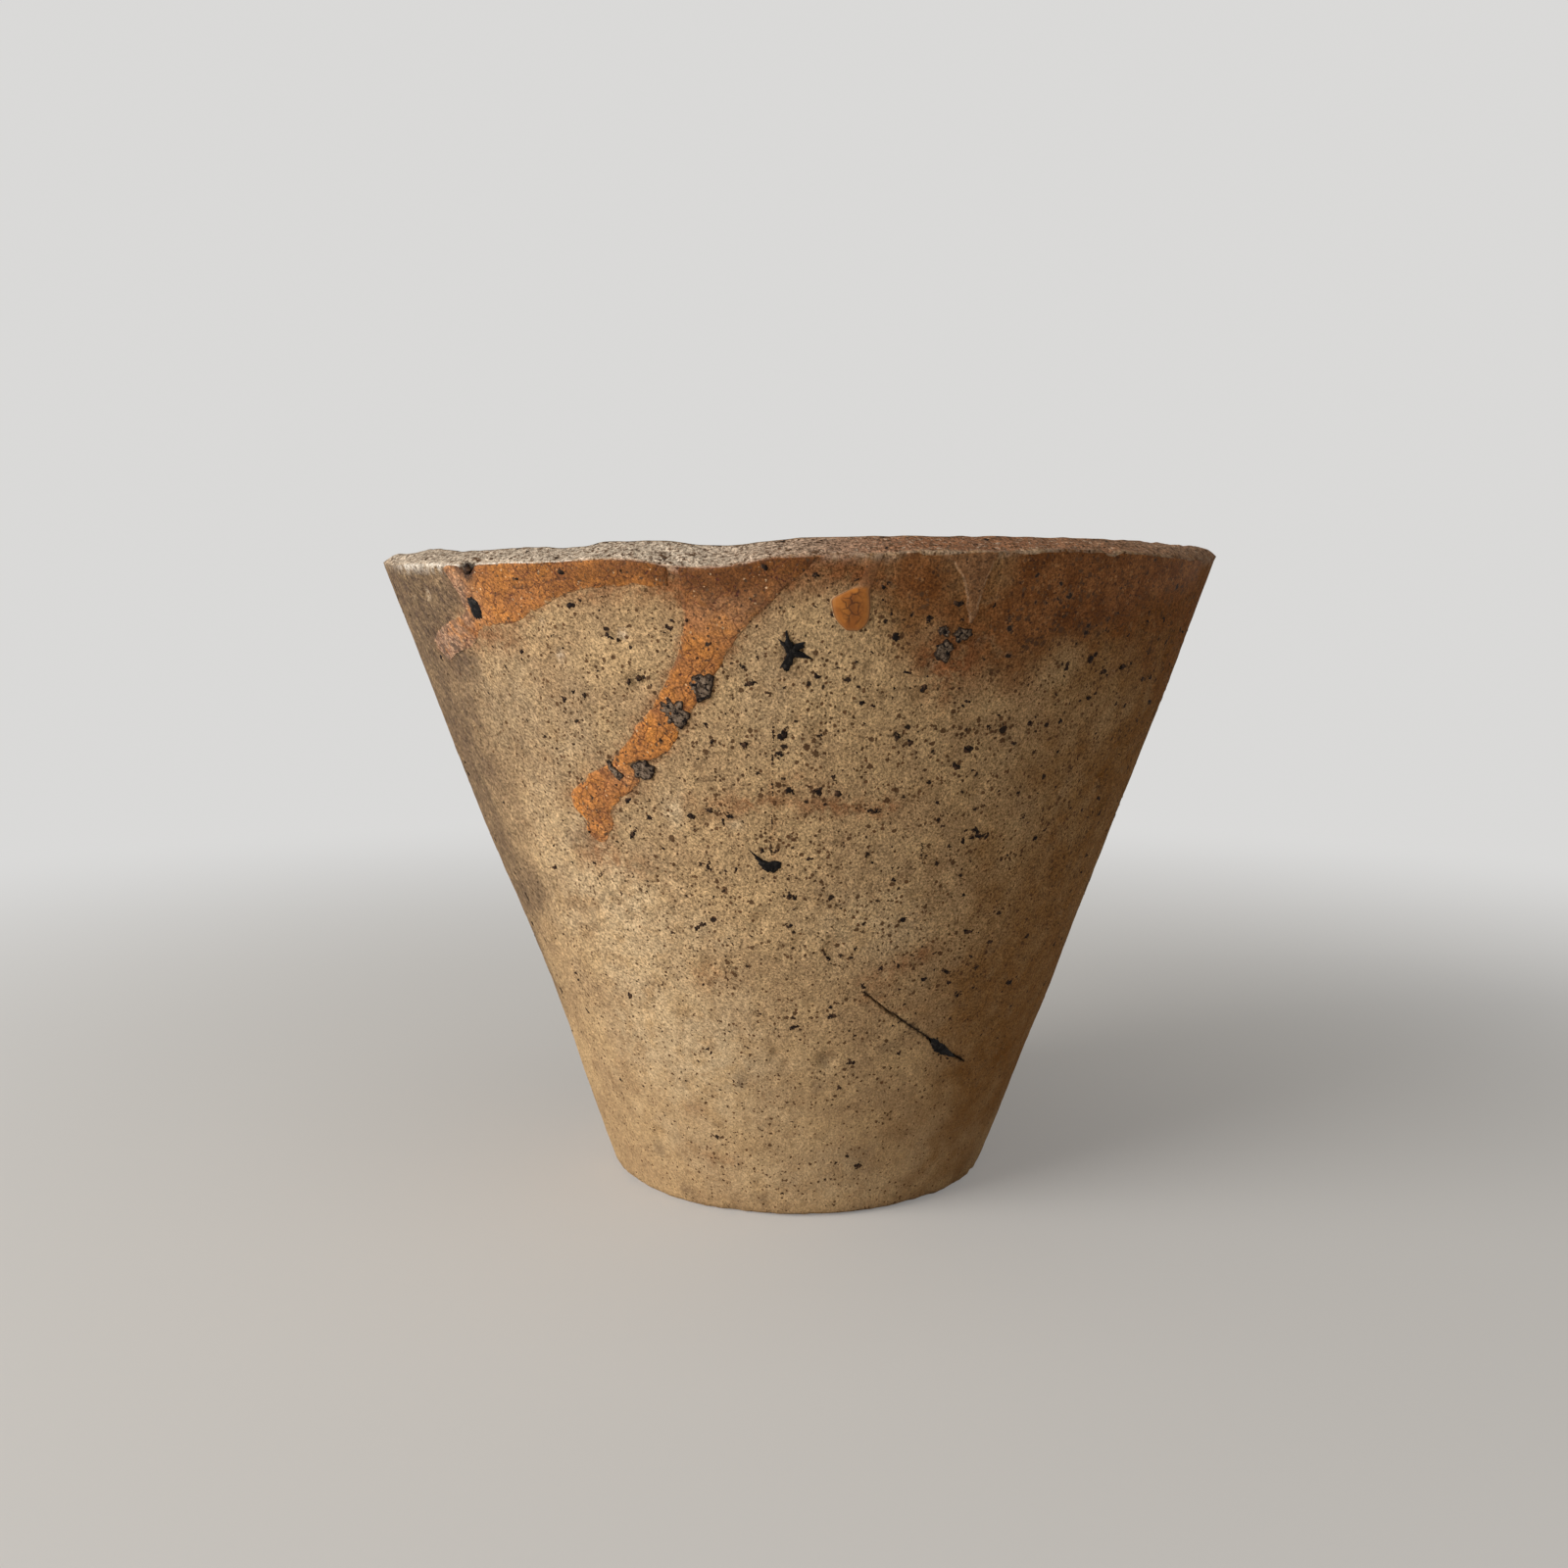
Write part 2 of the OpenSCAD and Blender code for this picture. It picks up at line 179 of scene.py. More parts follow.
def grid_faces(rows, columns, closed, first=0):
    """Quads between rows of points, which close into rings if closed."""
    i, j = np.meshgrid(np.arange(rows - 1), np.arange(columns if closed else columns - 1), indexing="ij")
    k = (j + 1) % columns
    quads = np.stack([i * columns + j, i * columns + k, (i + 1) * columns + k, (i + 1) * columns + j], -1)
    return (quads.reshape(-1, 4) + first).tolist()


def fan(middle, first, count, flip=False):
    """Triangles between a middle point and the ring of points from first on. Flipped, they face back."""
    pairs = [(first + j, first + (j + 1) % count) for j in range(count)]
    return [[middle, *(pair[::-1] if flip else pair)] for pair in pairs]


def turned_body(rows):
    """Points and faces of a closed body: rings of points from a lower middle round to an upper one."""
    n = len(rows[0])
    points = np.concatenate([rows[0].mean(0)[None], *rows, rows[-1].mean(0)[None]])
    last = len(points) - 1
    return points, fan(0, 1, n, True) + grid_faces(len(rows), n, True, 1) + fan(last, last - n, n)


def paint(piece, **masks):
    """Keeps a value from 0 to 1 at each vertex, for the finishes to read."""
    for name, values in masks.items():
        layer = piece.data.attributes.new(name, "FLOAT", "POINT")
        layer.data.foreach_set("value", np.clip(values, 0, 1).astype(np.float32))


def places(piece):
    """A piece's points in millimetres, with their azimuth, height and depth inside the outer wall."""
    flat = np.empty(3 * len(piece.data.vertices))
    piece.data.vertices.foreach_get("co", flat)
    p = flat.reshape(-1, 3) / MM
    az = np.degrees(np.arctan2(p[:, 0], -p[:, 1]))
    return p, az, p[:, 2], (wall_r(p[:, 2]) - np.hypot(p[:, 0], p[:, 1])) * cos(LEAN)


# ---- The vessel ----

def pits(az, z, count, low, high):
    """Depth of small round pits scattered over the outer wall."""
    random = np.random.default_rng(5)
    depth = np.zeros_like(z)
    across = wall_r(z) * 2 * pi / AROUND
    for _ in range(count):
        a, r = random.uniform(0, 360), low + (high - low) * random.uniform(0, 1) ** 2
        h = RIM_H * sqrt(random.uniform(0.0, 1)) - 2
        row = int(np.abs(z[:, 0] - h).argmin())
        tall, wide = int(r / 0.8) + 2, int(r / across[row, 0]) + 2
        i = slice(max(row - tall, 0), row + tall)
        j = (np.arange(-wide, wide + 1) + int(a * AROUND / 360)) % AROUND
        x = np.radians(near(az[j], a)) * wall_r(h)
        y = (z[i][:, j] - h) / cos(LEAN)
        d = np.sqrt(x ** 2 + y ** 2) / r
        depth[i, j] = np.maximum(depth[i, j], 0.3 * r * np.clip(1 - d ** 2, 0, 1))
    return depth


def foot_chips(az, z):
    """How far the worn, crumbled edge of the foot lies inside the cone."""
    p = ring(az, FOOT_R, z * 0.4)
    broad, fine = np.clip(lumps(p, 9, 6), 0, 1), np.clip(lumps(p, 3, 7), 0, 1)
    lost = 0.1 + 0.3 * broad + 0.4 * fine + 0.12 * lumps(p, 1.2, 15)
    return lost * np.exp(-(z / (0.9 + 0.7 * broad)) ** 2)


def outer_rows(az):
    share = np.linspace(0, 1, WALL_ROWS)[:, None]
    z = FOOT_WEAR + (edge_z(az)[None] - FOOT_WEAR) * share
    a = np.broadcast_to(az, z.shape)
    p = ring(a, wall_r(z), z)
    grain = 0.06 * lumps(p, 2.2, 8) + 0.05 * lumps(p, 1.1, 9)
    crumbs = 0.22 * smoothstep(1.3, 0, np.abs(z - edge_z(az)[None])) * (0.3 + 0.9 * lumps(p, 1.8, 10))
    calm = 1 - smoothstep(100, 114, z) * 0.5
    return list(on_wall(a, z, grain * calm - pits(az, z, 420, 0.8, 2.2) - crumbs - foot_chips(a, z)))


def under_rows(az):
    """The underside, slightly hollow, out to the worn edge of the foot."""
    rows = []
    for r in (4, 11, 18, 25, 30):
        rows.append(ring(az, r, 0.4 * (1 - (r / 31) ** 4) + 0 * az))
    for turn in (0, 35, 65):
        t = radians(turn)
        r = FOOT_R - FOOT_WEAR - 0.3 + FOOT_WEAR * sin(t)
        z = FOOT_WEAR * (1 - cos(t))
        lost = foot_chips(az, z + 0 * az)
        rows.append(ring(az, r - lost, z + 0.12 * lost * (turn > 0)))
    return rows


def rim_rows(az, outer):
    """The rim's square-cut face, rough where the clay broke, from its outer edge to its inner one.

    It lies a little low, so that no lump rises out of the solid's own box.
    """
    p = ring(az, RIM_R, RIM_H)
    low = INNER_TOP[1] + rim_z(az) - RIM_H - 0.7 * dips(az, INNER_DIPS)
    top = low - 0.3 * dips(az, INNER_DIPS) - 0.31 + 0.14 * lumps(p, 6, 11) + 0.1 * lumps(p, 2.4, 16)
    inner = ring(az, inner_r(low), top)
    crown = 0.35 + 0.35 * smoothstep(30, 60, np.abs(near(az, 0))) + 0.5 * np.exp(-(near(az, 66) / 12) ** 2)
    rows = []
    for k in range(1, RIM_ROWS):
        w = k / RIM_ROWS
        q = outer * (1 - w) + inner * w
        rough = 0.28 * lumps(q, 3.2, 12) + 0.24 * lumps(q, 1.3, 13) - 0.2
        rise = crown * 6.75 * w * (1 - w) ** 2 + rough * min(1, 5 * w, 2.2 * (1 - w))
        rows.append(q + rise[:, None] * ring(az, sin(LEAN), cos(LEAN) + 0 * az))
    return rows + [inner]


def hollow_rows(az, top, inset, lift, count):
    """Radii and heights down the hollow's wall from the height top, round its fillet and over its floor."""
    z0 = FLOOR_T + lift
    shift = inset / cos(INNER_LEAN)
    foot = inner_r(z0) - shift
    centre = foot + FILLET * tan(INNER_LEAN) - FILLET / cos(INNER_LEAN)
    bend_z = z0 + FILLET * (1 - sin(INNER_LEAN))
    rows = []
    for k in range(count):
        z = top + (bend_z - top) * k / (count - 1)
        rows.append((inner_r(z) - shift, z))
    for turn in np.linspace(0, 90 - degrees(INNER_LEAN), 7)[1:]:
        t = radians(turn) + INNER_LEAN
        rows.append((centre + FILLET * cos(t), z0 + FILLET * (1 - sin(t))))
    for share in (0.7, 0.4, 0.1):
        rows.append((centre * share, z0 + 0 * az))
    return [(r + 0 * az, z + 0 * az) for r, z in rows]


# The heat crack's course down the wall: [azimuth, height, width]
CRACK = [
    [11.2, 44.8, 0.1], [13.4, 43.1, 0.45], [15.3, 41.7, 0.5], [16.9, 40.5, 0.6], [18.5, 39.7, 0.55],
    [20, 38.7, 0.3], [22, 37.5, 0.16], [25, 35.8, 0.16], [27, 34.5, 0.3], [28.4, 33.6, 1.2],
    [29.8, 32.6, 1.6], [31.8, 31.7, 1.2], [34, 30.6, 0.8], [36.5, 29.5, 0.45], [38.9, 28.4, 0.1]]


def cut_crack(piece):
    """Cuts the crack with a thin jagged wedge."""
    course = spline(CRACK, 5)
    random = np.random.default_rng(11)
    rows = []
    for az, z, width in course:
        wide = width * random.uniform(0.7, 1.3) / 2
        z = z + random.uniform(-0.18, 0.18)
        skew = degrees(wide * 0.6 / wall_r(z))
        rows.append(on_wall(np.array([az + skew, az - skew, az]), np.array([z + wide, z - wide, z]),
                            np.array([0.8, 0.8, -2.6])))
    wedge = mesh_piece("wedge", *turned_body(rows))
    cut = piece.modifiers.new("crack", "BOOLEAN")
    cut.object, cut.solver = wedge, "EXACT"
    graph = bpy.context.evaluated_depsgraph_get()
    done = bpy.data.meshes.new_from_object(piece.evaluated_get(graph))
    piece.modifiers.clear()
    piece.data = done
    bpy.data.objects.remove(wedge)


def vessel():
    az = np.arange(AROUND) * 360 / AROUND
    outer = outer_rows(az)
    rim = rim_rows(az, outer[-1])
    hollow = [ring(az, r, h) for r, h in hollow_rows(az, rim[-1][:, 2], 0, 0, 8)][1:]
    piece = mesh_piece("clay_vessel", *turned_body(under_rows(az) + outer + rim + hollow))
    cut_crack(piece)
    return piece


# ---- Glass and slag on the wall ----

def spline(stations, steps):
    """Catmull-Rom curve through stations, with that many steps from each to the next."""
    s = np.array(stations, float)
    n = len(s) - 1
    found = []
    for i, j in product(range(n), range(steps)):
        a, b, c, d = s[max(i - 1, 0)], s[i], s[i + 1], s[min(i + 2, n)]
        t = j / steps
        found.append(b + 0.5 * t * (c - a + t * (2 * a - 5 * b + 4 * c - d + t * (3 * (b - c) + d - a))))
    return np.array(found + [s[-1]])


# Stations run from one end of a deposit to the other: [az, drop, az, drop, share of thickness]
SHEET = [
    [-14.8, 4.2, -14.8, 0.1, 0.3], [-19, 4.3, -19, 0.1, 0.9], [-25, 4.4, -25, 0.1, 1],
    [-29.2, 5.5, -29.2, 0.1, 1], [-33.4, 7.5, -33.4, 0.1, 1], [-36.5, 9, -37, 0.1, 1],
    [-40, 9.7, -42, 0.1, 1], [-43, 9.9, -47.5, 0.2, 1], [-45, 11, -46.9, 3.5, 0.9],
    [-47.2, 12.9, -45.6, 6.8, 0.8], [-51.5, 14.3, -50, 8.9, 0.7], [-55.5, 15.3, -54.5, 10.1, 0.5],
    [-59.3, 13.8, -59.3, 12.3, 0.1]]
RUN = [
    [2, 0.1, -14, 0.1, 0.6], [-0.7, 3.5, -13.7, 4, 0.9], [-6.9, 11, -14, 11, 1],
    [-9.5, 15.5, -15.5, 15.5, 1], [-12.2, 20, -18.4, 21, 1], [-15.5, 25, -21.6, 25, 1],
    [-18.1, 29.4, -24.2, 28.4, 1], [-22, 30.7, -26.4, 30.6, 1], [-24.1, 31.5, -28.2, 32.2, 1],
    [-23.3, 33, -31.4, 33.4, 1], [-23.4, 34.8, -32.3, 34.8, 1], [-25.2, 36.2, -35.4, 36.6, 1],
    [-27.2, 37.8, -35.7, 38.5, 1], [-29.1, 39.7, -34.9, 40.1, 1], [-28.9, 41.2, -34.1, 41.4, 1],
    [-30, 43.3, -34.2, 43, 0.8], [-31.6, 44.8, -32.8, 44.8, 0.1]]
FILM_LEFT = [
    [10, 4, 10, 0.1, 0.2], [12.5, 8, 12.5, 0.1, 1], [15, 9.2, 15, 0.1, 1], [17.4, 8.6, 17.4, 0.1, 0.6]]
FILM_RIGHT = [
    [22.8, 12.5, 22.6, 0.1, 0.6], [26, 15.5, 26, 0.1, 1], [34, 14, 34, 0.1, 1], [42, 12, 42, 0.1, 1],
    [50, 9, 50, 0.1, 1], [58, 7.5, 58, 0.1, 1], [64, 5.5, 64, 0.1, 0.2]]
DRIP = [
    [22.2, 0.1, 16, 0.1, 0.8], [21.3, 3.7, 17.9, 3.7, 1], [21, 6, 18.7, 6.4, 1],
    [20.7, 8.2, 19.3, 8.4, 0.9], [20.2, 10.2, 19.7, 10.2, 0.1]]
DROP = [
    [8.8, 0.1, 7, 0.1, 0.2], [8.2, 3.6, 6.6, 3.8, 0.25], [7.6, 5.2, 4.6, 5.4, 0.8],
    [7.7, 6.6, 3.3, 6.4, 1], [7.8, 8.1, 3.3, 7.8, 1], [7.7, 9.6, 3.8, 9.5, 1], [7, 10.8, 4.5, 10.6, 0.8],
    [6.3, 11.3, 5.3, 11.3, 0.1]]
# How far a deposit's base lies off the wall: inside it
SUNK = -0.2
# How far in from its edge a deposit's paint still tells the distance
INWARD_MM = 5.0
# A distance beyond all that a stain or a rolled edge reaches
AWAY = 9


def ribbon(stations, t, seed, across=26, wander=0.35, waves=0.25, roll=3.4):
    """Points, faces and edge distances of a sheet of glass that lies on the wall between two edges.

    wander is how far its edges stray, waves how uneven its thickness t is, and roll how wide its
    rounded edge is.
    """
    st = spline(stations, 8)
    u = (1 - np.cos(np.pi * np.arange(across + 1) / across)) / 2
    az = st[:, :1] + (st[:, 2:3] - st[:, :1]) * u
    drop = st[:, 1:2] + (st[:, 3:4] - st[:, 1:2]) * u
    z = rim_z(az) - drop
    p = ring(az, wall_r(z), z)
    az = az + np.degrees(wander * (lumps(p, 3.4, seed) + 0.7 * lumps(p, 1.3, seed + 1)) / wall_r(z))
    z = z + wander * (lumps(p, 3.1, seed + 2) + 0.7 * lumps(p, 1.2, seed + 3))
    z = np.minimum(z, edge_z(az) - 0.1)
    wide = np.hypot(np.radians(st[:, 0] - st[:, 2]) * wall_r(100.0), st[:, 1] - st[:, 3])
    along = np.concatenate([[0], np.cumsum(np.linalg.norm(np.diff(p[:, across // 2], axis=0), axis=1))])
    # An edge on the rim isn't an end of the glass, which runs on over it
    run_on = AWAY * np.clip(1.2 - drop, 0, 1)
    side = np.minimum(u * wide[:, None] + run_on[:, :1], (1 - u) * wide[:, None] + run_on[:, -1:])
    inward = np.minimum(side, np.minimum(along + run_on[0].min(), along[-1] - along)[:, None])
    swell = np.sqrt(1 - (1 - np.clip(inward / roll, 0, 1)) ** 2)
    uneven = 1 + waves * lumps(p, 2.8, seed + 4) + 0.5 * waves * lumps(p, 1.1, seed + 5)
    top = on_wall(az, z, 0.02 + t * np.clip(st[:, 4:5], 0, 1) * swell * uneven)
    base = on_wall(az, z, SUNK + 0 * z)
    skin = np.concatenate([top, base[:, ::-1]], axis=1)
    m, n = skin.shape[1], len(skin)
    faces = grid_faces(n, m, True)
    for row in (0, n - 1):
        for j in range(across):
            quad = [row * m + j, row * m + j + 1, row * m + m - 2 - j, row * m + m - 1 - j]
            faces.append(quad if row else quad[::-1])
    both = np.concatenate([inward, inward[:, ::-1]], axis=1)
    return skin.reshape(-1, 3), faces, both.ravel() / INWARD_MM


def cross(p, q):
    """Cross product of plane vectors."""
    return p[..., 0] * q[..., 1] - p[..., 1] * q[..., 0]


def reach(outline, angles):
    """How far an outline around the origin reaches at each angle."""
    a = np.array(outline, float)
    edge = np.roll(a, -1, axis=0) - a
    ray = np.stack([np.cos(angles), np.sin(angles)], -1)[:, None]
    span = cross(ray, edge)
    span = np.where(np.abs(span) < 1e-9, 1e-9, span)
    far, share = cross(a, edge) / span, cross(a, ray) / span
    hit = (far > 0) & (share >= -1e-6) & (share <= 1 + 1e-6)
    return np.where(hit, far, 0).max(axis=1)


def bead(az, z, reaches, t, rings, rough=0.0, seed=0, dome=0.5):
    """A bead on the wall. reaches gives its half width at evenly spaced angles; a low dome makes it flat."""
    sides = len(reaches)
    angles = 2 * np.pi * np.arange(sides) / sides
    f = (np.arange(1, rings + 1) / rings)[:, None]
    x, y = f * reaches * np.cos(angles), f * reaches * np.sin(angles)
    up = z + y * cos(LEAN)
    turn = az + np.degrees(x / wall_r(up))
    height = t * (1 - 0.97 * f ** 2) ** dome + 0 * x
    if rough:
        p = ring(turn, wall_r(up), up)
        height = height * (1 + rough * lumps(p, 0.9, seed) + rough * lumps(p, 0.45, seed + 1))
    middle, foot = on_wall(az, z, np.array([[t], [SUNK]]))
    base = on_wall(turn[-1], up[-1], SUNK)
    points = np.concatenate([middle, on_wall(turn, up, height).reshape(-1, 3), base, foot])
    last = len(points) - 1
    skin = [[q[0], q[3], q[2], q[1]] for q in grid_faces(rings + 1, sides, True, 1)]
    inward = np.concatenate([[1], (1 - f + 0 * x).ravel(), np.zeros(sides), [1]])
    return points, fan(0, 1, sides) + skin + fan(last, last - sides, sides, True), inward


def joined(name, parts):
    """One piece from several closed solids, painted with its distance from its edges."""
    points, faces, inward = [], [], []
    for p, f, d in parts:
        first = sum(map(len, points))
        points.append(p)
        faces += [[first + i for i in face] for face in f]
        inward.append(d)
    piece = mesh_piece(name, np.concatenate(points), faces)
    paint(piece, inward=np.concatenate(inward))
    paint_wall(piece)
    return piece


def ragged(length, width, slope, sides, seed, uneven=0.4):
    """Reaches of an irregular flake with these half sizes, turned by slope degrees."""
    random = np.random.default_rng(seed)
    angles = 2 * np.pi * np.arange(sides) / sides
    wave = 0
    for count in (2, 3, 5, 8):
        share = random.uniform(0.2, 1) / sqrt(count)
        wave = wave + share * np.cos(count * angles + random.uniform(0, 7))
    turn = angles - radians(slope)
    oval = 1 / np.sqrt((np.cos(turn) / length) ** 2 + (np.sin(turn) / width) ** 2)
    return oval * np.clip(1 + uneven * wave, 0.3, 1.9)


# Outlines round a bead's middle: x along the wall and y up it
STAR = [
    [-0.6, 3.9], [-0.25, 1.9], [0.5, 1], [2.3, 1.6], [2, 0.55], [0.9, 0.1], [2.2, -0.45], [3.9, -1.6],
    [1.5, -1.05], [0.5, -0.9], [0.2, -2], [-0.5, -3.3], [-1.5, -3.1], [-1.6, -2.4], [-0.9, -1.6],
    [-0.6, -0.6], [-0.9, 0.3], [-2.1, 2.1], [-0.9, 1.3], [-0.75, 2]]
BLEB = [
    [2.1, 0.15], [1.7, 0.5], [1, 0.55], [0.3, 0.35], [-0.6, 0.75], [-1.3, 1.25], [-2.2, 2.1], [-2.9, 2.8],
    [-2.1, 1.5], [-1.5, 0.7], [-1.2, -0.2], [-0.6, -0.9], [0.2, -1.45], [1.2, -1.35], [2, -0.7]]
OVAL = [
    [1.6, -1.5], [1.75, -0.3], [1.4, 1.1], [0.7, 1.9], [-0.7, 2], [-1.5, 1.7], [-1.7, 0.8], [-1.4, -0.8],
    [-1, -1.8], [0.2, -2.1], [1.2, -2]]
CAP = [
    [5, -3.3], [2.6, -1.2], [1.2, 0.1], [0, 1], [-1, 1.7], [-2.4, 2.3], [-2, 1], [-1.4, 0], [-0.8, -0.8],
    [0, -1.1], [0.8, -1.7], [1.8, -2], [3, -2.5]]

CLAY_SPOTS = [
    [-27.9, 6.9, 0.9], [11, 12.2, 1], [15.2, 20, 0.8], [-20.5, 18, 0.7], [40, 16.5, 1], [43.5, 18.6, 0.9],
    [-2.6, 27, 1], [2.4, 35.8, 0.9], [5, 36.2, 0.9]]
SHEET_SPOTS = [[-28, 1.9, 1.1], [-34.7, 2.7, 0.65], [-20.3, 1.9, 0.35], [-43.1, 1.2, 1.2]]
RUN_SPOTS = [
    [-4, 1.8, 0.9], [-13.3, 9.3, 0.45], [-12.5, 14.8, 0.5], [-10.8, 12.7, 0.5], [-18.7, 27.4, 0.5],
    [-33.9, 43.2, 0.35], [-26.8, 34.9, 0.5]]
FILM_SPOTS = [[33, 9.5, 0.6]]
# Crusts of crystals: [azimuth, drop, half length, half width, slope], first those on the orange run
CRYSTALS = [
    [-16.2, 23.3, 2.7, 2, 100], [-12.4, 19, 2.5, 1.7, 55], [-22, 32.4, 1.9, 1.6, 20],
    [-26.6, 32.7, 1.8, 0.75, -50], [19.2, 12, 1.4, 1.1, 10], [17.2, 14.4, 1.7, 1.4, 80],
    [16.8, 11.4, 0.9, 0.8, 0]]

# Iron flakes and short dark cracks on the bare clay: [azimuth, drop, half length, half width, slope]
MARKS = [
    [-43, -0.2, 1, 0.7, 30], [-15.6, 10.3, 0.5, 0.6, 0], [14.6, 9.5, 0.8, 0.7, 60],
    [28.5, 11.2, 0.8, 0.5, 30], [48, 18, 0.9, 0.6, 10], [55, 20.5, 0.9, 0.4, -20],
    [-6.2, 18.8, 1.1, 0.5, 20], [-7, 16.4, 0.9, 0.25, -45], [-2.4, 26.4, 1.2, 0.25, 60],
    [-3, 29.8, 0.7, 0.6, 0], [-7.6, 28.3, 0.6, 0.5, 0], [12.4, 27.5, 0.7, 0.4, 80],
    [4.3, 33.5, 1.5, 0.3, -70], [-1.8, 35.5, 0.8, 0.5, 20], [1.9, 35.6, 0.8, 0.5, 30],
    [10, 39.2, 1.8, 0.5, 5], [-16, 39.8, 0.9, 0.5, -20], [-13, 38.7, 0.8, 0.4, 0],
    [-10.3, 39.5, 0.7, 0.5, -30], [-22.5, 40.2, 0.9, 0.4, 0], [-26, 43.2, 1.8, 0.35, 50],
    [-14.3, 48.2, 1.1, 0.3, 70], [-34, 50.7, 1.6, 0.25, 40], [-1.5, 53.3, 0.8, 0.7, 0],
    [35.3, 42, 0.6, 0.5, 0], [32, 26.3, 1, 0.35, -20], [42, 22.8, 1, 0.25, -5], [61.5, 24.8, 1.6, 0.5, 0],
    [18.4, 46.3, 2.4, 0.22, -80], [-2, 58.2, 0.6, 0.5, 0], [17, 58, 0.6, 0.5, 0],
    [35.8, 58.8, 1, 0.4, -30], [-16.4, 58.3, 0.9, 0.4, 20], [4.6, 64.2, 1.8, 0.18, -60],
    [23, 69.4, 0.7, 0.4, 20], [27.5, 68.6, 1.6, 0.3, -35], [6.3, 74.7, 0.9, 0.6, 10],
    [31.5, 73.2, 0.8, 0.6, 0], [-1.5, 76.8, 1.2, 0.3, 20], [10.7, 84, 1, 0.4, 0],
    [15.2, 105, 0.8, 0.7, 60], [-3.7, 26.5, 2.2, 0.1, 88], [-3.9, 31, 2.2, 0.08, 90],
    [-4, 35.4, 2.2, 0.08, 92], [-4.2, 40.5, 2.5, 0.06, 90], [-4.5, 45, 1.8, 0.06, 95],
    [14.2, 2.3, 1.1, 0.5, 20]]


def outlined(az, z, outline, t, sides):
    """A bead with a drawn outline, nibbled along its edge."""
    angles = 2 * np.pi * np.arange(sides) / sides
    far = reach(outline, angles)
    edge = np.stack([far * np.cos(angles), far * np.sin(angles), 0 * far], -1)
    nibbled = far * (1 + 0.16 * lumps(edge, 0.5, 42) + 0.08 * lumps(edge, 0.22, 43))
    return bead(az, z, nibbled, t, 7, 0.2, 40)


def cluster(az, z, length, width, slope, seed):
    """A ragged patch of small beads, scattered round a middle inside an oval of these half sizes."""
    random = np.random.default_rng(seed)
    turn = radians(slope)
    parts = []
    for i in range(3 + int(7 * length)):
        far, angle = random.uniform(0, 1) ** 0.7, random.uniform(0, 2 * pi)
        x, y = length * far * cos(angle), width * far * sin(angle)
        r = (0.16 + 0.42 * min(width, 0.8)) * (1.15 - 0.8 * far)
        across = degrees((x * cos(turn) - y * sin(turn)) / wall_r(z))
        up = z + (x * sin(turn) + y * cos(turn)) * cos(LEAN)
        up = min(up, edge_z(np.array(az + across)) - 0.5)
        reaches = ragged(1.2 * r, 0.8 * r, random.uniform(0, 180), 11, 700 + i, 0.6)
        parts.append(bead(az + across, up, reaches, 0.08, 2))
    return parts


def spot_beads():
    spots = CLAY_SPOTS + SHEET_SPOTS + RUN_SPOTS + FILM_SPOTS
    parts = []
    for i, (az, drop, r) in enumerate(spots):
        t = 0.14 if i < len(CLAY_SPOTS) else 0.42
        reaches = ragged(0.75 * r, 0.55 * r, 37 * i, 26, 50 + i, 0.4)
        parts.append(bead(az, rim_z(az) - drop, reaches, t, 4, 0.15, 60 + i))
    return parts


def crystal_beads():
    parts = []
    for i, (az, drop, length, width, slope) in enumerate(CRYSTALS):
        angles = 2 * np.pi * np.arange(72) / 72
        edge = np.stack([2 * np.cos(angles), 2 * np.sin(angles), 0 * angles + 10 * i], -1)
        nibbled = ragged(length, width, slope, 72, 80 + i, 0.22) * (1 + 0.3 * lumps(edge, 0.6, 75))
        parts.append(bead(az, rim_z(az) - drop, nibbled, 0.44 if i < 4 else 0.26, 10, 0.3, 90 + i, 0.14))
    return parts


def flakes():
    """The marks, and small iron flakes scattered over the wall: most across the front's middle and right."""
    parts = []
    for i, (az, drop, length, width, slope) in enumerate(MARKS):
        parts += cluster(az, rim_z(az) - drop, length, width, slope, 400 + i)
    random = np.random.default_rng(7)
    for i in range(FLAKES):
        az = random.uniform(-180, 180)
        z = 3 + (RIM_H - 6) * sqrt(random.uniform(0.03, 1))
        r = 0.14 + 0.38 * random.uniform(0, 1) ** 4
        keep, stretch, slope = random.uniform(0, 1), random.uniform(1, 2.2), random.normal(-20, 50)
        crowd = 0.35 + 0.65 * exp(-(near(az, 22) / 55) ** 2 - ((z - 72) / 42) ** 2)
        if keep < crowd:
            parts.append(bead(az, z, ragged(r * stretch, r, slope, 12, 500 + i, 0.6), 0.06, 2))
    return parts
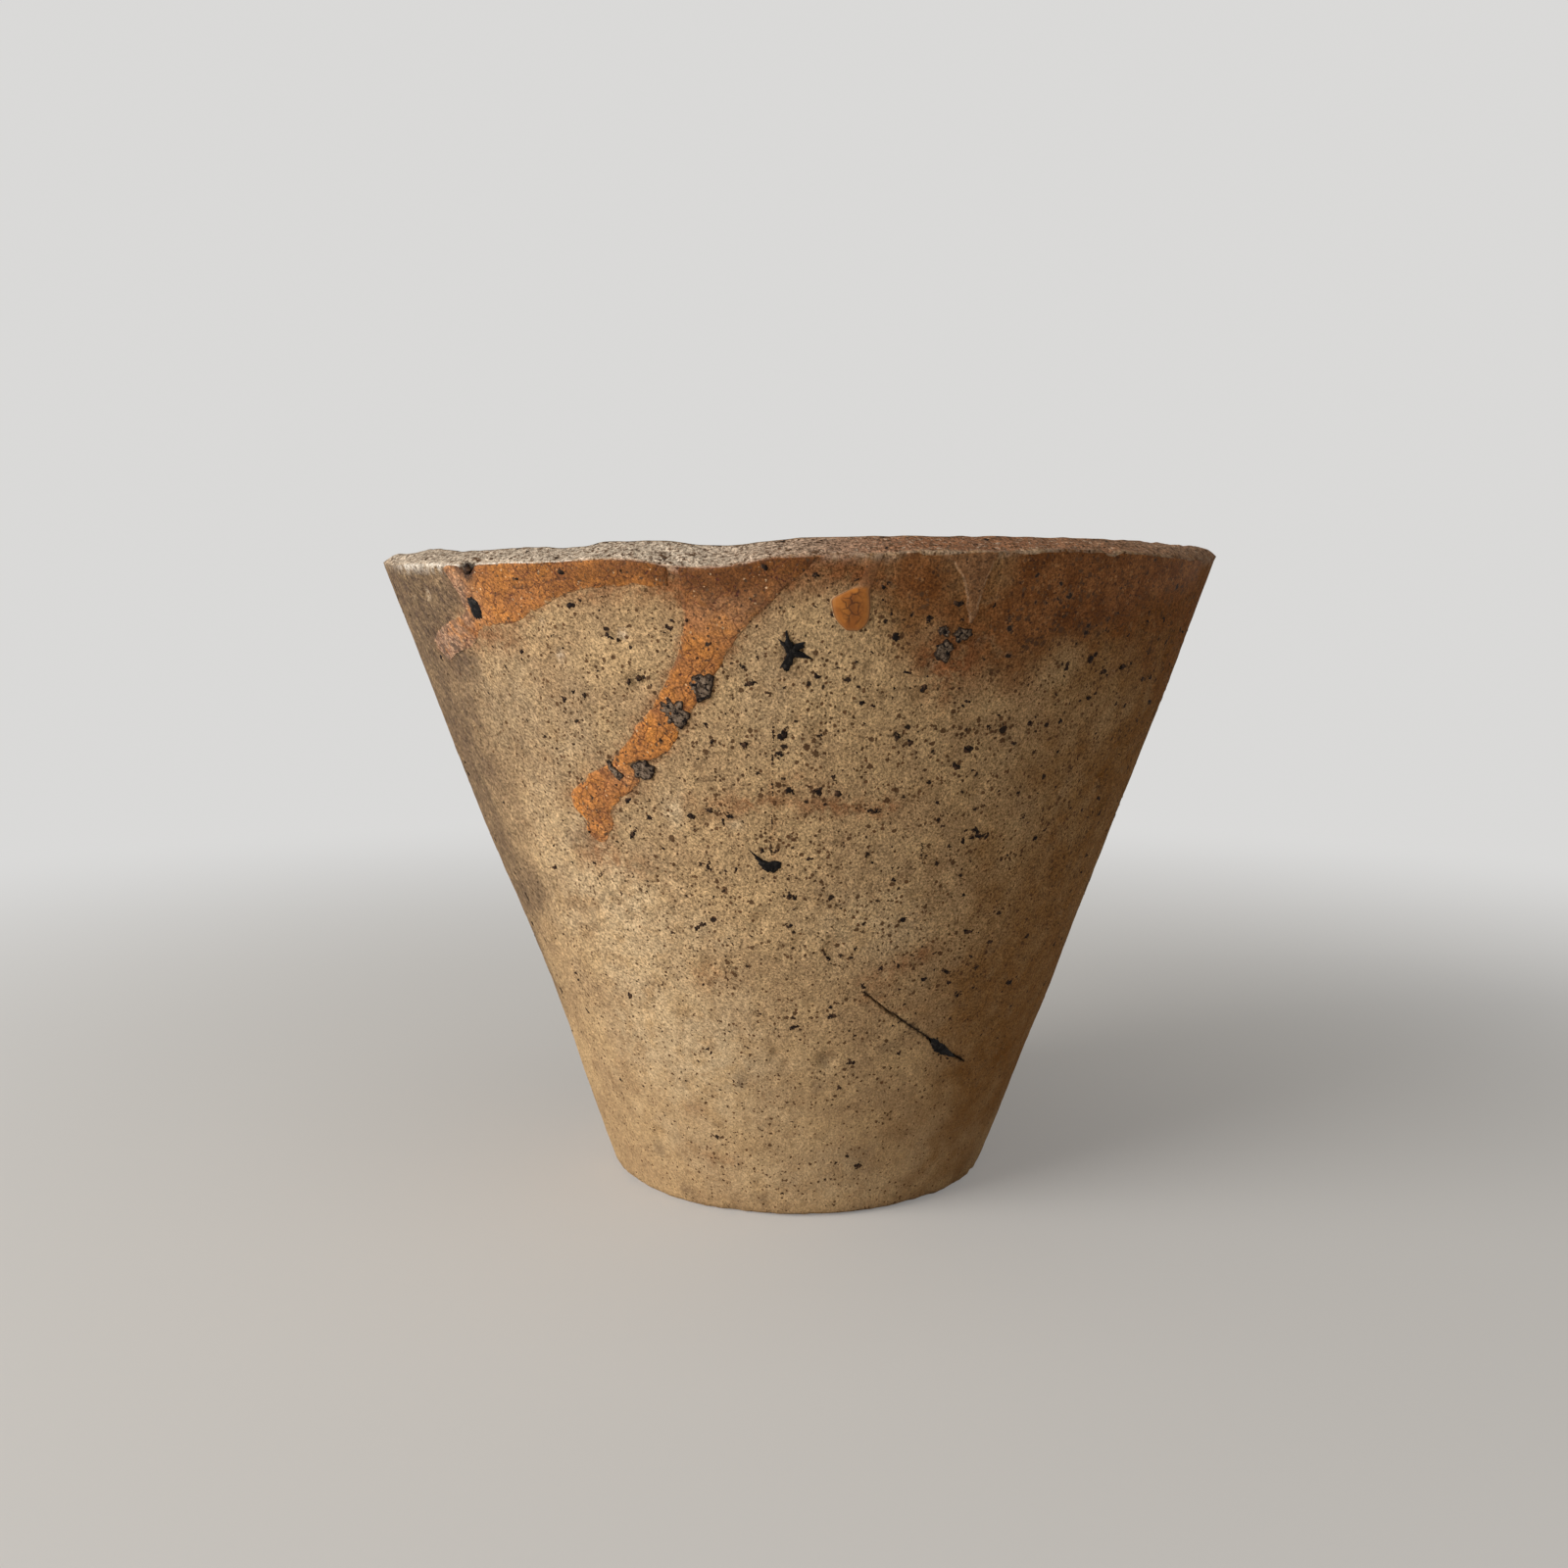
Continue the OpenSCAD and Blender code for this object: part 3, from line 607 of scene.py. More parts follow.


# ---- Stains, with painted shade and a painted highlight ----

# Soft patches: [azimuth, height, half width in degrees, half height, strength]
# Soot; the patches on the left side also stand for painted shade there
SOOT = [
    [-82, 72, 20, 44, 0.8], [-66, 104, 16, 13, 0.9], [-57, 109, 7, 5, 0.97], [-51.5, 98, 4, 2.4, 0.98],
    [-51, 99, 2.4, 1.6, 0.95], [-60, 108, 8, 7, 0.95], [-53.5, 112, 6, 4, 0.98], [-51, 109, 2.4, 4, 0.95],
    [-66, 112, 8, 5, 0.95], [-57, 104.6, 4, 2.2, 0.97], [-66, 86, 10, 16, 0.55], [-62, 90, 12, 10, 0.8],
    [-46, 90, 8, 8, 0.3], [-62, 76, 11, 9, 0.75], [-48, 77, 8, 7, 0.15], [-60, 60, 11, 8, 0.75],
    [-47, 62, 6, 5, 0.12], [-72, 48, 14, 16, 0.6], [-37, 69.5, 2.5, 2, 0.5], [-37, 92, 12, 11, 0.3],
    [-26, 86, 12, 12, 0.15], [-52, 104, 5, 6, 0.6], [-39.5, 11, 2.4, 1.4, 0.55],
    [-12.5, 27, 1.8, 1.5, 0.55], [-10.3, 3.5, 2.2, 1.3, 0.6], [17.5, 33, 2, 1.4, 0.55],
    [3.6, 26.3, 1.4, 1.1, 0.6], [4.3, 31.7, 1.4, 1, 0.6], [-33, 2.4, 2, 1.4, 0.5], [-120, 88, 25, 16, 0.7],
    [-150, 60, 14, 18, 0.55], [140, 96, 20, 12, 0.7], [170, 40, 16, 16, 0.5], [100, 50, 14, 22, 0.4],
    [15, 12, 5, 4, 0.25], [-105, 30, 14, 12, 0.3]]
RUST = [
    [-9, 112.5, 8, 3, 0.95], [-20, 113, 6, 2.5, 0.7], [3, 113, 6, 2.5, 0.7], [-14, 110, 3, 2.5, 0.6],
    [17.2, 100.4, 4, 4.4, 0.98], [-17, 46.8, 4, 2.6, 0.5], [13.5, 46.8, 3, 1.8, 0.5],
    [17.5, 49.3, 3.5, 2, 0.65], [21.5, 51.4, 2.6, 1.6, 0.75], [-25, 21, 6, 2, 0.3],
    [-18, 11, 5, 1.5, 0.45], [16.8, 100.5, 4.2, 5, 0.65], [-34, 67.5, 4, 3, 0.65], [-41, 102, 5, 2.4, 0.6],
    [-29, 67, 4, 3, 0.55], [5, 77, 6, 1.6, 0.8], [-6, 77.5, 5, 1.8, 0.7], [11, 76, 3, 1.5, 0.85],
    [0, 80.5, 3, 2, 0.4], [-4, 79, 0.6, 5, 0.6], [-4.2, 71, 0.5, 4, 0.5], [14, 43.2, 2.6, 0.7, 0.7],
    [18.5, 40.8, 3, 0.6, 0.5], [-21, 83, 2, 3, 0.35], [-13, 76, 4, 2, 0.3], [-16.5, 77.5, 3, 1.5, 0.3],
    [-40, 103.5, 6, 1.6, 0.45], [-26, 109, 8, 1.2, 0.35], [-170, 108, 20, 6, 0.7], [120, 110, 18, 5, 0.6],
    [-100, 111, 12, 4, 0.5]]
# Brown stain; over the right side it is also painted shade, darker and warmer than the stain alone
BROWN = [
    [6, 114, 6, 4, 0.6], [14, 111, 6, 7, 0.7], [22, 108, 9, 9, 0.75], [34, 110, 12, 9, 0.8],
    [50, 108, 14, 10, 0.9], [66, 104, 16, 16, 0.95], [78, 80, 24, 45, 0.95], [56, 70, 18, 36, 0.75],
    [38, 70, 16, 40, 0.3], [48, 40, 18, 26, 0.65], [64, 25, 22, 24, 0.92], [62, 86, 14, 24, 0.6],
    [44, 14, 14, 14, 0.5], [100, 100, 25, 20, 0.7], [-160, 104, 24, 12, 0.5], [150, 70, 22, 22, 0.4],
    [105, 40, 22, 34, 0.6]]
PEPPER = [
    [30, 106, 34, 8, 0.8], [2, 78, 20, 18, 0.9], [22, 84, 20, 20, 0.75], [18, 58, 24, 24, 0.65],
    [50, 80, 18, 28, 0.55], [-14, 98, 14, 10, 0.45], [-34, 82, 12, 16, 0.45], [120, 80, 40, 30, 0.5],
    [-140, 80, 40, 30, 0.5], [-8, 54, 18, 14, 0.6], [0, 20, 30, 16, 0.35]]
# Reddish-brown stain, where thin glass ran down from the rim
UMBER = [
    [-6, 112, 5, 3.5, 0.9], [-33, 111.5, 8, 3.5, 0.4], [-26, 112, 5, 3, 0.5], [-21, 113.5, 7, 2.2, 0.6],
    [-10, 111.5, 8, 3.6, 0.95], [1, 113.4, 9, 1.7, 0.85], [-15, 112, 3.5, 2.6, 0.9], [4, 113, 8, 2.4, 0.9],
    [12, 112, 5, 3.2, 0.9], [16, 107, 5, 5, 0.85], [25, 108, 8, 8, 0.95], [24, 101, 6, 5, 0.7],
    [34, 108, 8, 8.5, 0.95], [45, 108, 9, 9, 0.95], [57, 109, 10, 9, 0.95], [70, 107, 11, 12, 0.95],
    [84, 106, 12, 9, 0.8], [-165, 109, 18, 7, 0.7], [125, 110, 14, 5, 0.6]]
PALE = [
    [-33, 58, 13, 26, 0.6], [-24, 28, 18, 12, 0.55], [-14, 36, 9, 9, 0.3], [9, 58, 10, 8, 0.35],
    [-4, 94, 8, 8, 0.2], [5, 8, 30, 6, 0.35], [-18.5, 76.5, 2, 2.5, 0.8], [43, 76, 1.2, 2.4, 0.9],
    [-9.2, 74, 1.2, 0.6, 0.8], [-42, 93, 10, 8, 0.3]]
PINK = [
    [-53, 102, 9, 6, 0.95], [-46.5, 110, 3, 6, 0.85], [-58, 101, 6, 4, 0.9], [-8, 108, 5, 4, 0.5],
    [-29.5, 71, 3, 4, 0.4], [-24, 81, 3, 2, 0.3]]


def cover(az, z, bend, patches):
    """How strongly soft patches cover each point of the wall. bend is noise that ruffles their edges."""
    bare = np.ones_like(z)
    for a, h, w, t, strength in patches:
        far = (near(az, a) / w + bend[0]) ** 2 + ((z - h) / t + bend[1]) ** 2
        bare = bare * (1 - strength * np.exp(-far))
    return 1 - bare


def charring(az, z, depth):
    """Painted shade: 1 in the heat crack and along its lips, where the gap lies in shade, and in the rim's
    nick, which is dark iron and shade; 0 elsewhere.
    """
    course = np.array(CRACK)
    middle, half = 25, 13.6
    beside = np.abs(z - np.interp(az, course[:, 0], course[:, 1])) + AWAY * (np.abs(az - middle) > half)
    lips, walls = smoothstep(0.3, 0.14, beside), smoothstep(1.6, 1.0, beside) * smoothstep(0.25, 0.6, depth)
    nick = np.exp(-(near(az, NICK) / 1.5) ** 4 - ((z - edge_z(az) - 0.3) / 1.6) ** 4) * (depth < 1.8)
    return np.maximum(np.maximum(lips, walls) * (depth < 6), nick)


def paint_wall(piece, halo=0.0):
    """Paints a piece with the stains of the wall that it is part of or lies on, and with the shade and
    highlight painted on that wall.
    """
    p, az, z, depth = places(piece)
    bend = [0.5 * lumps(p, 14, s) + 0.4 * lumps(p, 5, s + 1) + 0.3 * lumps(p, 2.2, s + 2) for s in (21, 24)]
    soot, rust, brown, pepper, pale, umber, pink = [
        cover(az, z, bend, patches) for patches in (SOOT, RUST, BROWN, PEPPER, PALE, UMBER, PINK)]
    top = smoothstep(95, 100, z)
    rim_face = top * smoothstep(0.35, 0.9, depth) * smoothstep(8.2, 7.5, depth)
    inside = smoothstep(7.6, 8.3, depth) * smoothstep(6, 12, z)
    edge = np.hypot(z - edge_z(az), np.maximum(depth, 0)) * top + AWAY * (1 - top)
    # the rim's outer edge is painted pale: a little all round for its worn, bared clay, and much more over
    # the lit front left as a painted highlight
    bared = (0.2 + 0.6 * smoothstep(-66, -58, az) * smoothstep(-22, -30, az)) * np.exp(-(edge / 0.75) ** 2)
    paint(piece, core=rim_face, pale_end=rim_face * np.exp(-(near(az, 62) / 22) ** 2),
          chalk=bared * (1 + 0.4 * lumps(p, 1.5, 27)), halo=halo + 0 * z,
          # the heat crack, its lips and the rim's nick get painted shade; the nick is also dark iron
          char=charring(az, z, depth),
          soot=soot * (1 - rim_face), rust=rust, brown=np.maximum(brown, 0.75 * inside), pink=pink,
          pepper=0.25 + 0.75 * pepper, pale=pale, umber=umber * (1 - rim_face))


def halo_of(piece, deposits):
    """1 beside the glass, falling off over a few millimetres of bare wall."""
    verts = [v.co for other in deposits for v in other.data.vertices]
    tree = kdtree.KDTree(len(verts))
    for i, co in enumerate(verts):
        tree.insert(co, i)
    tree.balance()
    far = np.array([tree.find(v.co)[2] for v in piece.data.vertices]) / MM
    return np.exp(-(far / 1.2) ** 1.5)


# ---- Finishes ----

class Finish:
    """The node tree of a new material, or of the world, with one short call for each node."""

    def __init__(self, name, world=None):
        self.owner = world or bpy.data.materials.new(name)
        self.owner.use_nodes = True
        self.tree = self.owner.node_tree
        self.tree.nodes.clear()
        self.place = self.add("TexCoord").outputs["Object"]

    def add(self, kind, inputs=None, **settings):
        """A shader node of a kind, whose inputs take a value or another node's output."""
        node = self.tree.nodes.new("ShaderNode" + kind)
        for name, value in settings.items():
            setattr(node, name, value)
        for key, value in (inputs or {}).items():
            if isinstance(value, bpy.types.NodeSocket):
                self.tree.links.new(value, node.inputs[key])
            elif isinstance(value, tuple) and node.inputs[key].type == "RGBA":
                node.inputs[key].default_value = (*value, 1.0)
            else:
                node.inputs[key].default_value = value
        return node

    def math(self, operation, *values):
        return self.add("Math", dict(enumerate(values)), operation=operation).outputs[0]

    def times(self, a, b):
        return self.math("MULTIPLY", a, b)

    def plus(self, a, b):
        return self.math("ADD", a, b)

    def minus(self, a, b):
        return self.math("SUBTRACT", a, b)

    def mix(self, factor, a, b, blend="MIX"):
        node = self.add("Mix", {0: factor, 6: a, 7: b}, data_type="RGBA", blend_type=blend)
        return node.outputs[2]

    def over(self, colour, *layers):
        """A colour under layers, each a new colour and the masks that all have to be high to show it."""
        for new, *masks in layers:
            factor = masks[0]
            for mask in masks[1:]:
                factor = self.times(factor, mask)
            colour = self.mix(factor, colour, new)
        return colour

    def along(self, axis):
        """Metres along an axis: 0 for x and 2 for z."""
        return self.add("SeparateXYZ", {0: self.place}).outputs[axis]

    def noise(self, size, detail=3.0, rough=0.55, place=None):
        """Noise from 0 to 1 with features about size millimetres across."""
        inputs = {"Vector": place or self.place, "Scale": 1 / (size * MM), "Detail": detail}
        return self.add("TexNoise", {**inputs, "Roughness": rough}).outputs["Fac"]

    def cloud(self, low, high, *noise):
        """Clouds of noise: 0 where it is low and 1 where it is high."""
        return self.fade(self.noise(*noise), low, high)

    def bent(self, size, shift):
        """Coordinates pushed about by noise, so that round patterns turn ragged."""
        inputs = {"Vector": self.place, "Scale": 1 / (size * MM), "Detail": 2.0}
        push = {0: self.add("TexNoise", inputs).outputs["Color"], "Scale": shift * MM}
        moved = {0: self.place, 1: self.add("VectorMath", push, operation="SCALE").outputs[0]}
        return self.add("VectorMath", moved, operation="ADD").outputs[0]

    def drawn(self, factor):
        """Coordinates in which patterns are drawn out along the slant of the fire's draught."""
        slant = (0, radians(44), radians(-45))
        inputs = {"Vector": self.place, "Rotation": slant, "Scale": (factor, 1, 1)}
        return self.add("Mapping", inputs, vector_type="TEXTURE").outputs[0]

    def cells(self, size, feature="F1", place=None):
        """Voronoi cells about size millimetres across."""
        inputs = {"Vector": place or self.place, "Scale": 1 / (size * MM)}
        return self.add("TexVoronoi", inputs, feature=feature)

    def net(self, size, place):
        """Distance from the lines of a net with meshes about size millimetres across."""
        return self.cells(size, "DISTANCE_TO_EDGE", place).outputs["Distance"]

    def span(self, value, low, high, start, finish, smooth=False):
        """Maps low to start and high to finish, and holds beyond them."""
        inputs = {"Value": value, "From Min": low, "From Max": high, "To Min": start, "To Max": finish}
        kind = "SMOOTHSTEP" if smooth else "LINEAR"
        return self.add("MapRange", inputs, interpolation_type=kind).outputs["Result"]

    def fade(self, value, low, high):
        """0 at low and 1 at high, in either order."""
        ends = (low, high, 0.0, 1.0) if low < high else (high, low, 1.0, 0.0)
        return self.span(value, *ends, True)

    def mask(self, name):
        return self.add("Attribute", attribute_name=name).outputs["Fac"]

    def inward(self):
        """Millimetres from the edge of a deposit, up to INWARD_MM."""
        return self.times(self.mask("inward"), INWARD_MM)

    def grains(self, size, radius, density, place=None, rarity=3.0):
        """Grains scattered one to a cell: a few reach the share radius of it, and most are far smaller."""
        cell = self.cells(size, place=place)
        chance = self.add("SeparateColor", {"Color": cell.outputs["Color"]}).outputs[0]
        limit = self.times(self.math("POWER", chance, rarity), self.times(density, radius))
        return self.fade(self.minus(limit, cell.outputs["Distance"]), 0.0, 0.05)

    def blots(self, size, share, place=None):
        """Ragged blots of noise. A higher share brings more of them."""
        level = self.plus(self.noise(size, 1.5, 0.6, place), self.times(share, 0.075))
        return self.fade(level, 0.70, 0.735)

    def bump(self, height, distance, strength=1.0, normal=None):
        inputs = {"Height": height, "Distance": distance * MM, "Strength": strength}
        if normal:
            inputs["Normal"] = normal
        return self.add("Bump", inputs).outputs["Normal"]

    def shade(self, colour, roughness, normal, specular):
        """Ends the tree with a shader, and gives the material."""
        surface = {"Base Color": colour, "Roughness": roughness, "Normal": normal}
        shader = self.add("BsdfPrincipled", {**surface, "Specular IOR Level": specular})
        self.add("OutputMaterial", {"Surface": shader.outputs[0]})
        return self.owner


BUFF, PALE_BUFF, DULL_BUFF = (0.54, 0.362, 0.188), (0.66, 0.50, 0.31), (0.43, 0.28, 0.148)
# The ochre brown is a stain and, over the right side, painted warm shade; the soot grey is soot and, on the
# left side, painted shade
RUST_RED, OCHRE_BROWN, SOOT_GREY = (0.27, 0.105, 0.04), (0.20, 0.085, 0.018), (0.10, 0.066, 0.047)
CORE_GREY, CORE_PINK, CORE_DUN = (0.68, 0.56, 0.43), (0.37, 0.165, 0.08), (0.40, 0.24, 0.145)
# The last is the pale of the rim's outer edge: worn bare clay, and a painted highlight on its lit front left
CORE_DARK, CORE_PALE, CHALK = (0.14, 0.085, 0.052), (0.62, 0.47, 0.34), (0.88, 0.80, 0.69)
UMBER_BROWN, UMBER_DEEP = (0.20, 0.073, 0.021), (0.155, 0.053, 0.012)
IRON, GRAIN, SCORCH = (0.018, 0.012, 0.01), (0.07, 0.036, 0.018), (0.20, 0.11, 0.055)


def ground(g):
    """The fired clay with its stains and soot, before any grains, with shade painted on its left and right
    sides and a highlight painted along the rim's outer edge.
    """
    core = g.over(
        g.mix(g.fade(g.along(0), -0.02, 0.02), CORE_GREY, CORE_PINK),
        (CORE_DUN, g.mask("pale_end")), (CORE_DARK, g.cloud(0.46, 0.60, 0.7, 4, 0.8)),
        (CORE_PALE, g.cloud(0.55, 0.66, 0.9, 4, 0.8, g.bent(3, 4))))
    streaks = g.noise(0.9, 4, 0.8, g.drawn(3.0))
    return g.over(
        g.mix(g.cloud(0.36, 0.64, 9, 5, 0.65), DULL_BUFF, BUFF),
        (PALE_BUFF, g.mask("pale"), g.cloud(0.25, 0.6, 3.5, 4)),
        # brown stain, which over the right side is also painted warm shade
        (OCHRE_BROWN, g.mask("brown"), g.span(g.noise(5, 5, 0.65), 0.3, 0.62, 0.75, 1.0)),
        (UMBER_BROWN, g.mask("umber"), g.span(g.noise(4, 5, 0.7), 0.3, 0.6, 0.6, 1.0)),
        (RUST_RED, g.mask("rust"), g.cloud(0.34, 0.58, 2.0, 5, 0.7)),
        ((0.28, 0.17, 0.085), g.cloud(0.54, 0.70, 2.6, 4, 0.6), 0.5),
        (RUST_RED, g.mask("halo"), g.cloud(0.3, 0.75, 1.8, 4, 0.6), 0.8),
        # soot, which on the left side is also painted shade
        (SOOT_GREY, g.mask("soot"), g.span(streaks, 0.40, 0.60, 0.62, 1.0)),
        # the rim face's own colour, then the pale rim edge: worn bare clay, and a painted highlight on its
        # lit front left
        (core, g.mask("core")), (CHALK, g.mask("chalk"), g.cloud(0.3, 0.55, 1.2, 4)))


def specked(g, colour, share=1.0):
    """Sand, iron dust and grit over a colour, with painted shade in the crack and the rim's nick: the colour
    with them, and the height of the sand, dust and grit for bumps.
    """
    pepper = g.times(g.math("MAXIMUM", g.mask("pepper"), g.mask("core")), share)
    sand, silt = g.noise(0.36, 2.5, 0.75, g.drawn(1.6)), g.noise(1.7, 4, 0.65)
    shade = g.times(g.span(sand, 0.36, 0.64, 0.48, 1.52), g.span(silt, 0.3, 0.7, 0.80, 1.18))
    shade = g.times(shade, g.span(g.noise(0.8, 2, 0.7), 0.36, 0.64, 0.84, 1.14))
    coarse = g.span(g.along(2), 0.012, 0.06, 0.5, min(0.4 + 0.6 * share, 1.0), True)
    shade = g.math("MULTIPLY_ADD", g.minus(shade, 1.0), coarse, 1.0)
    tone = g.add("CombineColor", {0: shade, 1: shade, 2: shade}).outputs[0]
    pepper = g.times(pepper, g.span(g.noise(5, 3, 0.6), 0.38, 0.62, 0.2, 1.2))
    rusty = g.mix(g.cloud(0.42, 0.58, 2.5, 2), GRAIN, (0.14, 0.07, 0.033))
    dust = g.grains(0.7, 0.60, g.span(pepper, 0, 1, 0.5, 1.0), g.bent(0.35, 0.45), 2.0)
    freckles = g.grains(1.4, 0.48, g.span(pepper, 0, 1, 0.35, 1.0), g.bent(0.5, 0.7), 1.6)
    wide = g.bent(0.55, 1.0)
    scorch, grit = [g.grains(1.9, radius, g.span(pepper, 0, 1, 0.2, 1.0), wide) for radius in (0.55, 0.42)]
    colour = g.over(
        g.mix(1.0, colour, tone, "MULTIPLY"), (rusty, dust, 0.95),
        ((0.095, 0.048, 0.023), freckles, 0.9), (SCORCH, scorch, 0.5), (IRON, grit, 0.95),
        # painted shade in the crack, along its lips and in the rim's nick, in near-black
        (IRON, g.mask("char"), share))
    return colour, g.minus(sand, g.times(g.math("MAXIMUM", dust, grit), 0.6))


def clay():
    g = Finish("fired_clay")
    colour, height = specked(g, ground(g))
    normal = g.bump(height, 0.2, 0.7, g.bump(g.noise(1.6, 4, 0.65), 0.45, 0.7))
    return g.shade(colour, 0.95, normal, 0.1)


def orange_glass():
    """Thin opaque crackled glass: it thins into the stained clay along its edges."""
    g = Finish("crackled_orange_glass")
    crackle = g.times(g.fade(g.net(2.3, g.bent(1.6, 1.2)), 0.08, 0.0), g.cloud(0.36, 0.54, 6, 2))
    holes, lights = g.blots(0.7, 0.6, g.bent(1, 1)), g.grains(0.8, 0.26, 1.0, g.bent(0.4, 0.4), 2.0)
    outline = g.times(g.fade(g.inward(), 1.4, 0.5), g.cloud(0.5, 0.62, 4, 3))
    colour = g.over(
        g.mix(g.cloud(0.36, 0.64, 5, 5, 0.65), (0.42, 0.165, 0.050), (0.57, 0.222, 0.047)),
        ((0.46, 0.28, 0.175), g.mask("pink"), g.cloud(0.25, 0.5, 1.6, 4, 0.6, g.drawn(2.0))),
        ((0.13, 0.075, 0.045), g.mask("pink"), g.cloud(0.49, 0.55, 1.0, 4, 0.7, g.drawn(2.8))),
        (UMBER_DEEP, g.mask("umber"), g.span(g.noise(3, 4), 0.3, 0.6, 0.85, 1.0)),
        ((0.12, 0.038, 0.014), crackle, 0.75), ((0.09, 0.022, 0.014), holes, 0.85),
        ((0.80, 0.55, 0.32), lights, 0.65), ((0.17, 0.075, 0.035), outline, 0.5))
    body = g.fade(g.plus(g.inward(), g.times(g.noise(1.6, 5, 0.75), 3.0)), 1.1, 1.8)
    colour, sand = specked(g, g.mix(body, ground(g), colour), 0.85)
    low = g.plus(holes, g.times(crackle, 0.4))
    normal = g.bump(g.minus(g.plus(g.noise(0.9, 3, 0.6), sand), low), 0.16, 0.6)
    return g.shade(colour, g.span(body, 0, 1, 0.95, 0.6), normal, 0.22)


def brown_film():
    """Glass so thin that the speckled clay shows through it, browned."""
    g = Finish("thin_brown_glass")
    stain = g.over(
        g.mix(g.cloud(0.36, 0.64, 4.5, 5, 0.65), UMBER_DEEP, (0.27, 0.11, 0.036)),
        ((0.36, 0.175, 0.07), g.grains(0.9, 0.45, 1.0, g.bent(0.5, 0.6), 1.6), 0.6),
        (IRON, g.blots(0.8, 1.0, g.bent(1.2, 1.0)), 0.7))
    body = g.fade(g.plus(g.inward(), g.times(g.noise(2.8, 5, 0.65), 5.0)), 1.8, 7.0)
    colour, height = specked(g, g.mix(body, ground(g), stain), 1.5)
    return g.shade(colour, g.span(body, 0, 1, 0.95, 0.7), g.bump(height, 0.12, 0.5), 0.15)


def pale_rivulet():
    """A trickle that dried to a faint skin between two thin pale lines."""
    g = Finish("devitrified_glass")
    skin = g.mix(g.cloud(0.4, 0.6, 1.2, 4), (0.225, 0.105, 0.043), (0.31, 0.155, 0.07))
    line = g.times(g.fade(g.inward(), 0.05, 0.2), g.fade(g.inward(), 0.55, 0.3))
    colour = g.over(
        ground(g), (skin, g.fade(g.inward(), 0.1, 0.5)),
        ((0.38, 0.22, 0.12), line, g.cloud(0.3, 0.55, 1.5, 3)))
    colour, height = specked(g, colour, 1.2)
    return g.shade(colour, 0.75, g.bump(height, 0.12, 0.5), 0.2)


def amber_glass():
    """The glassy drop, crazed from its middle. Its neck runs up to the rim under the brown film."""
    g = Finish("amber_glass")
    # Heights (m) between which the neck's glass turns to bare clay
    neck_low, neck_high = 0.1099, 0.1106
    lines = g.times(g.fade(g.net(1.35, g.bent(1.2, 1.2)), 0.13, 0.0), g.fade(g.inward(), 0.6, 2.2))
    colour = g.over(
        g.mix(g.cloud(0.35, 0.65, 1.8, 3), (0.36, 0.115, 0.017), (0.50, 0.18, 0.03)),
        ((0.20, 0.062, 0.012), g.fade(g.inward(), 1.6, 3.0), 0.75),
        ((0.44, 0.21, 0.07), g.fade(g.inward(), 0.75, 0.4), 0.35),
        ((0.13, 0.045, 0.015), g.fade(g.inward(), 0.35, 0.15), 0.75),
        ((0.055, 0.016, 0.004), lines, 0.8))
    bare = specked(g, ground(g), 0.6)[0]
    glassy = g.times(g.fade(g.along(2), neck_high, neck_low), g.fade(g.inward(), 0.05, 0.2))
    normal = g.bump(g.minus(g.noise(1.5, 2), g.times(lines, 0.5)), 0.12, 0.4)
    colour = g.mix(glassy, bare, colour)
    return g.shade(colour, g.span(glassy, 0, 1, 0.9, 0.38), normal, 0.3)


def black_slag():
    g = Finish("black_slag")
    colour = g.mix(g.cloud(0.5, 0.7, 0.7, 4, 0.7), (0.007, 0.006, 0.006), (0.05, 0.042, 0.036))
    normal = g.bump(g.noise(0.6, 4, 0.7), 0.22, 0.7)
    return g.shade(colour, g.span(g.noise(0.9, 3), 0.35, 0.65, 0.35, 0.9), normal, 0.12)


def iron_slag():
    g = Finish("iron_specks")
    colour = g.mix(g.cloud(0.45, 0.62, 0.8, 4, 0.7), (0.014, 0.010, 0.009), (0.09, 0.05, 0.03))
    normal = g.bump(g.noise(0.35, 3, 0.7), 0.12, 0.7)
    return g.shade(colour, g.span(g.noise(0.9, 3), 0.35, 0.6, 0.6, 1.0), normal, 0.08)


def ash_crust():
    g = Finish("ash_crystals")
    grain = g.noise(0.55, 4, 0.75, g.drawn(2.5))
    ring = g.fade(g.plus(g.mask("inward"), g.times(g.noise(0.6, 3), 0.5)), 0.5, 0.3)
    colour = g.over(
        g.mix(g.fade(grain, 0.38, 0.60), (0.04, 0.027, 0.02), (0.24, 0.175, 0.125)),
        ((0.012, 0.01, 0.01), g.blots(0.6, 1.8)), ((0.018, 0.012, 0.010), ring, 0.85))
    return g.shade(colour, 0.9, g.bump(grain, 0.18, 0.7), 0.08)


def lining_glass():
    g = Finish("lining_glass")
    ashy, lines = g.cloud(0.56, 0.66, 9, 5, 0.65), g.fade(g.net(6, g.bent(3, 2)), 0.03, 0.0)
    colour = g.over(
        g.mix(g.cloud(0.35, 0.65, 5, 5, 0.6), (0.13, 0.05, 0.014), (0.33, 0.135, 0.04)),
        ((0.20, 0.17, 0.13), ashy, 0.7), ((0.05, 0.018, 0.008), lines, 0.8),
        ((0.02, 0.012, 0.01), g.blots(1.4, 0.5)))
    normal = g.bump(g.minus(g.noise(2.5, 3), g.times(lines, 0.3)), 0.3, 0.5)
    return g.shade(colour, g.span(ashy, 0, 1, 0.24, 0.6), normal, 0.4)


# ---- Pieces ----

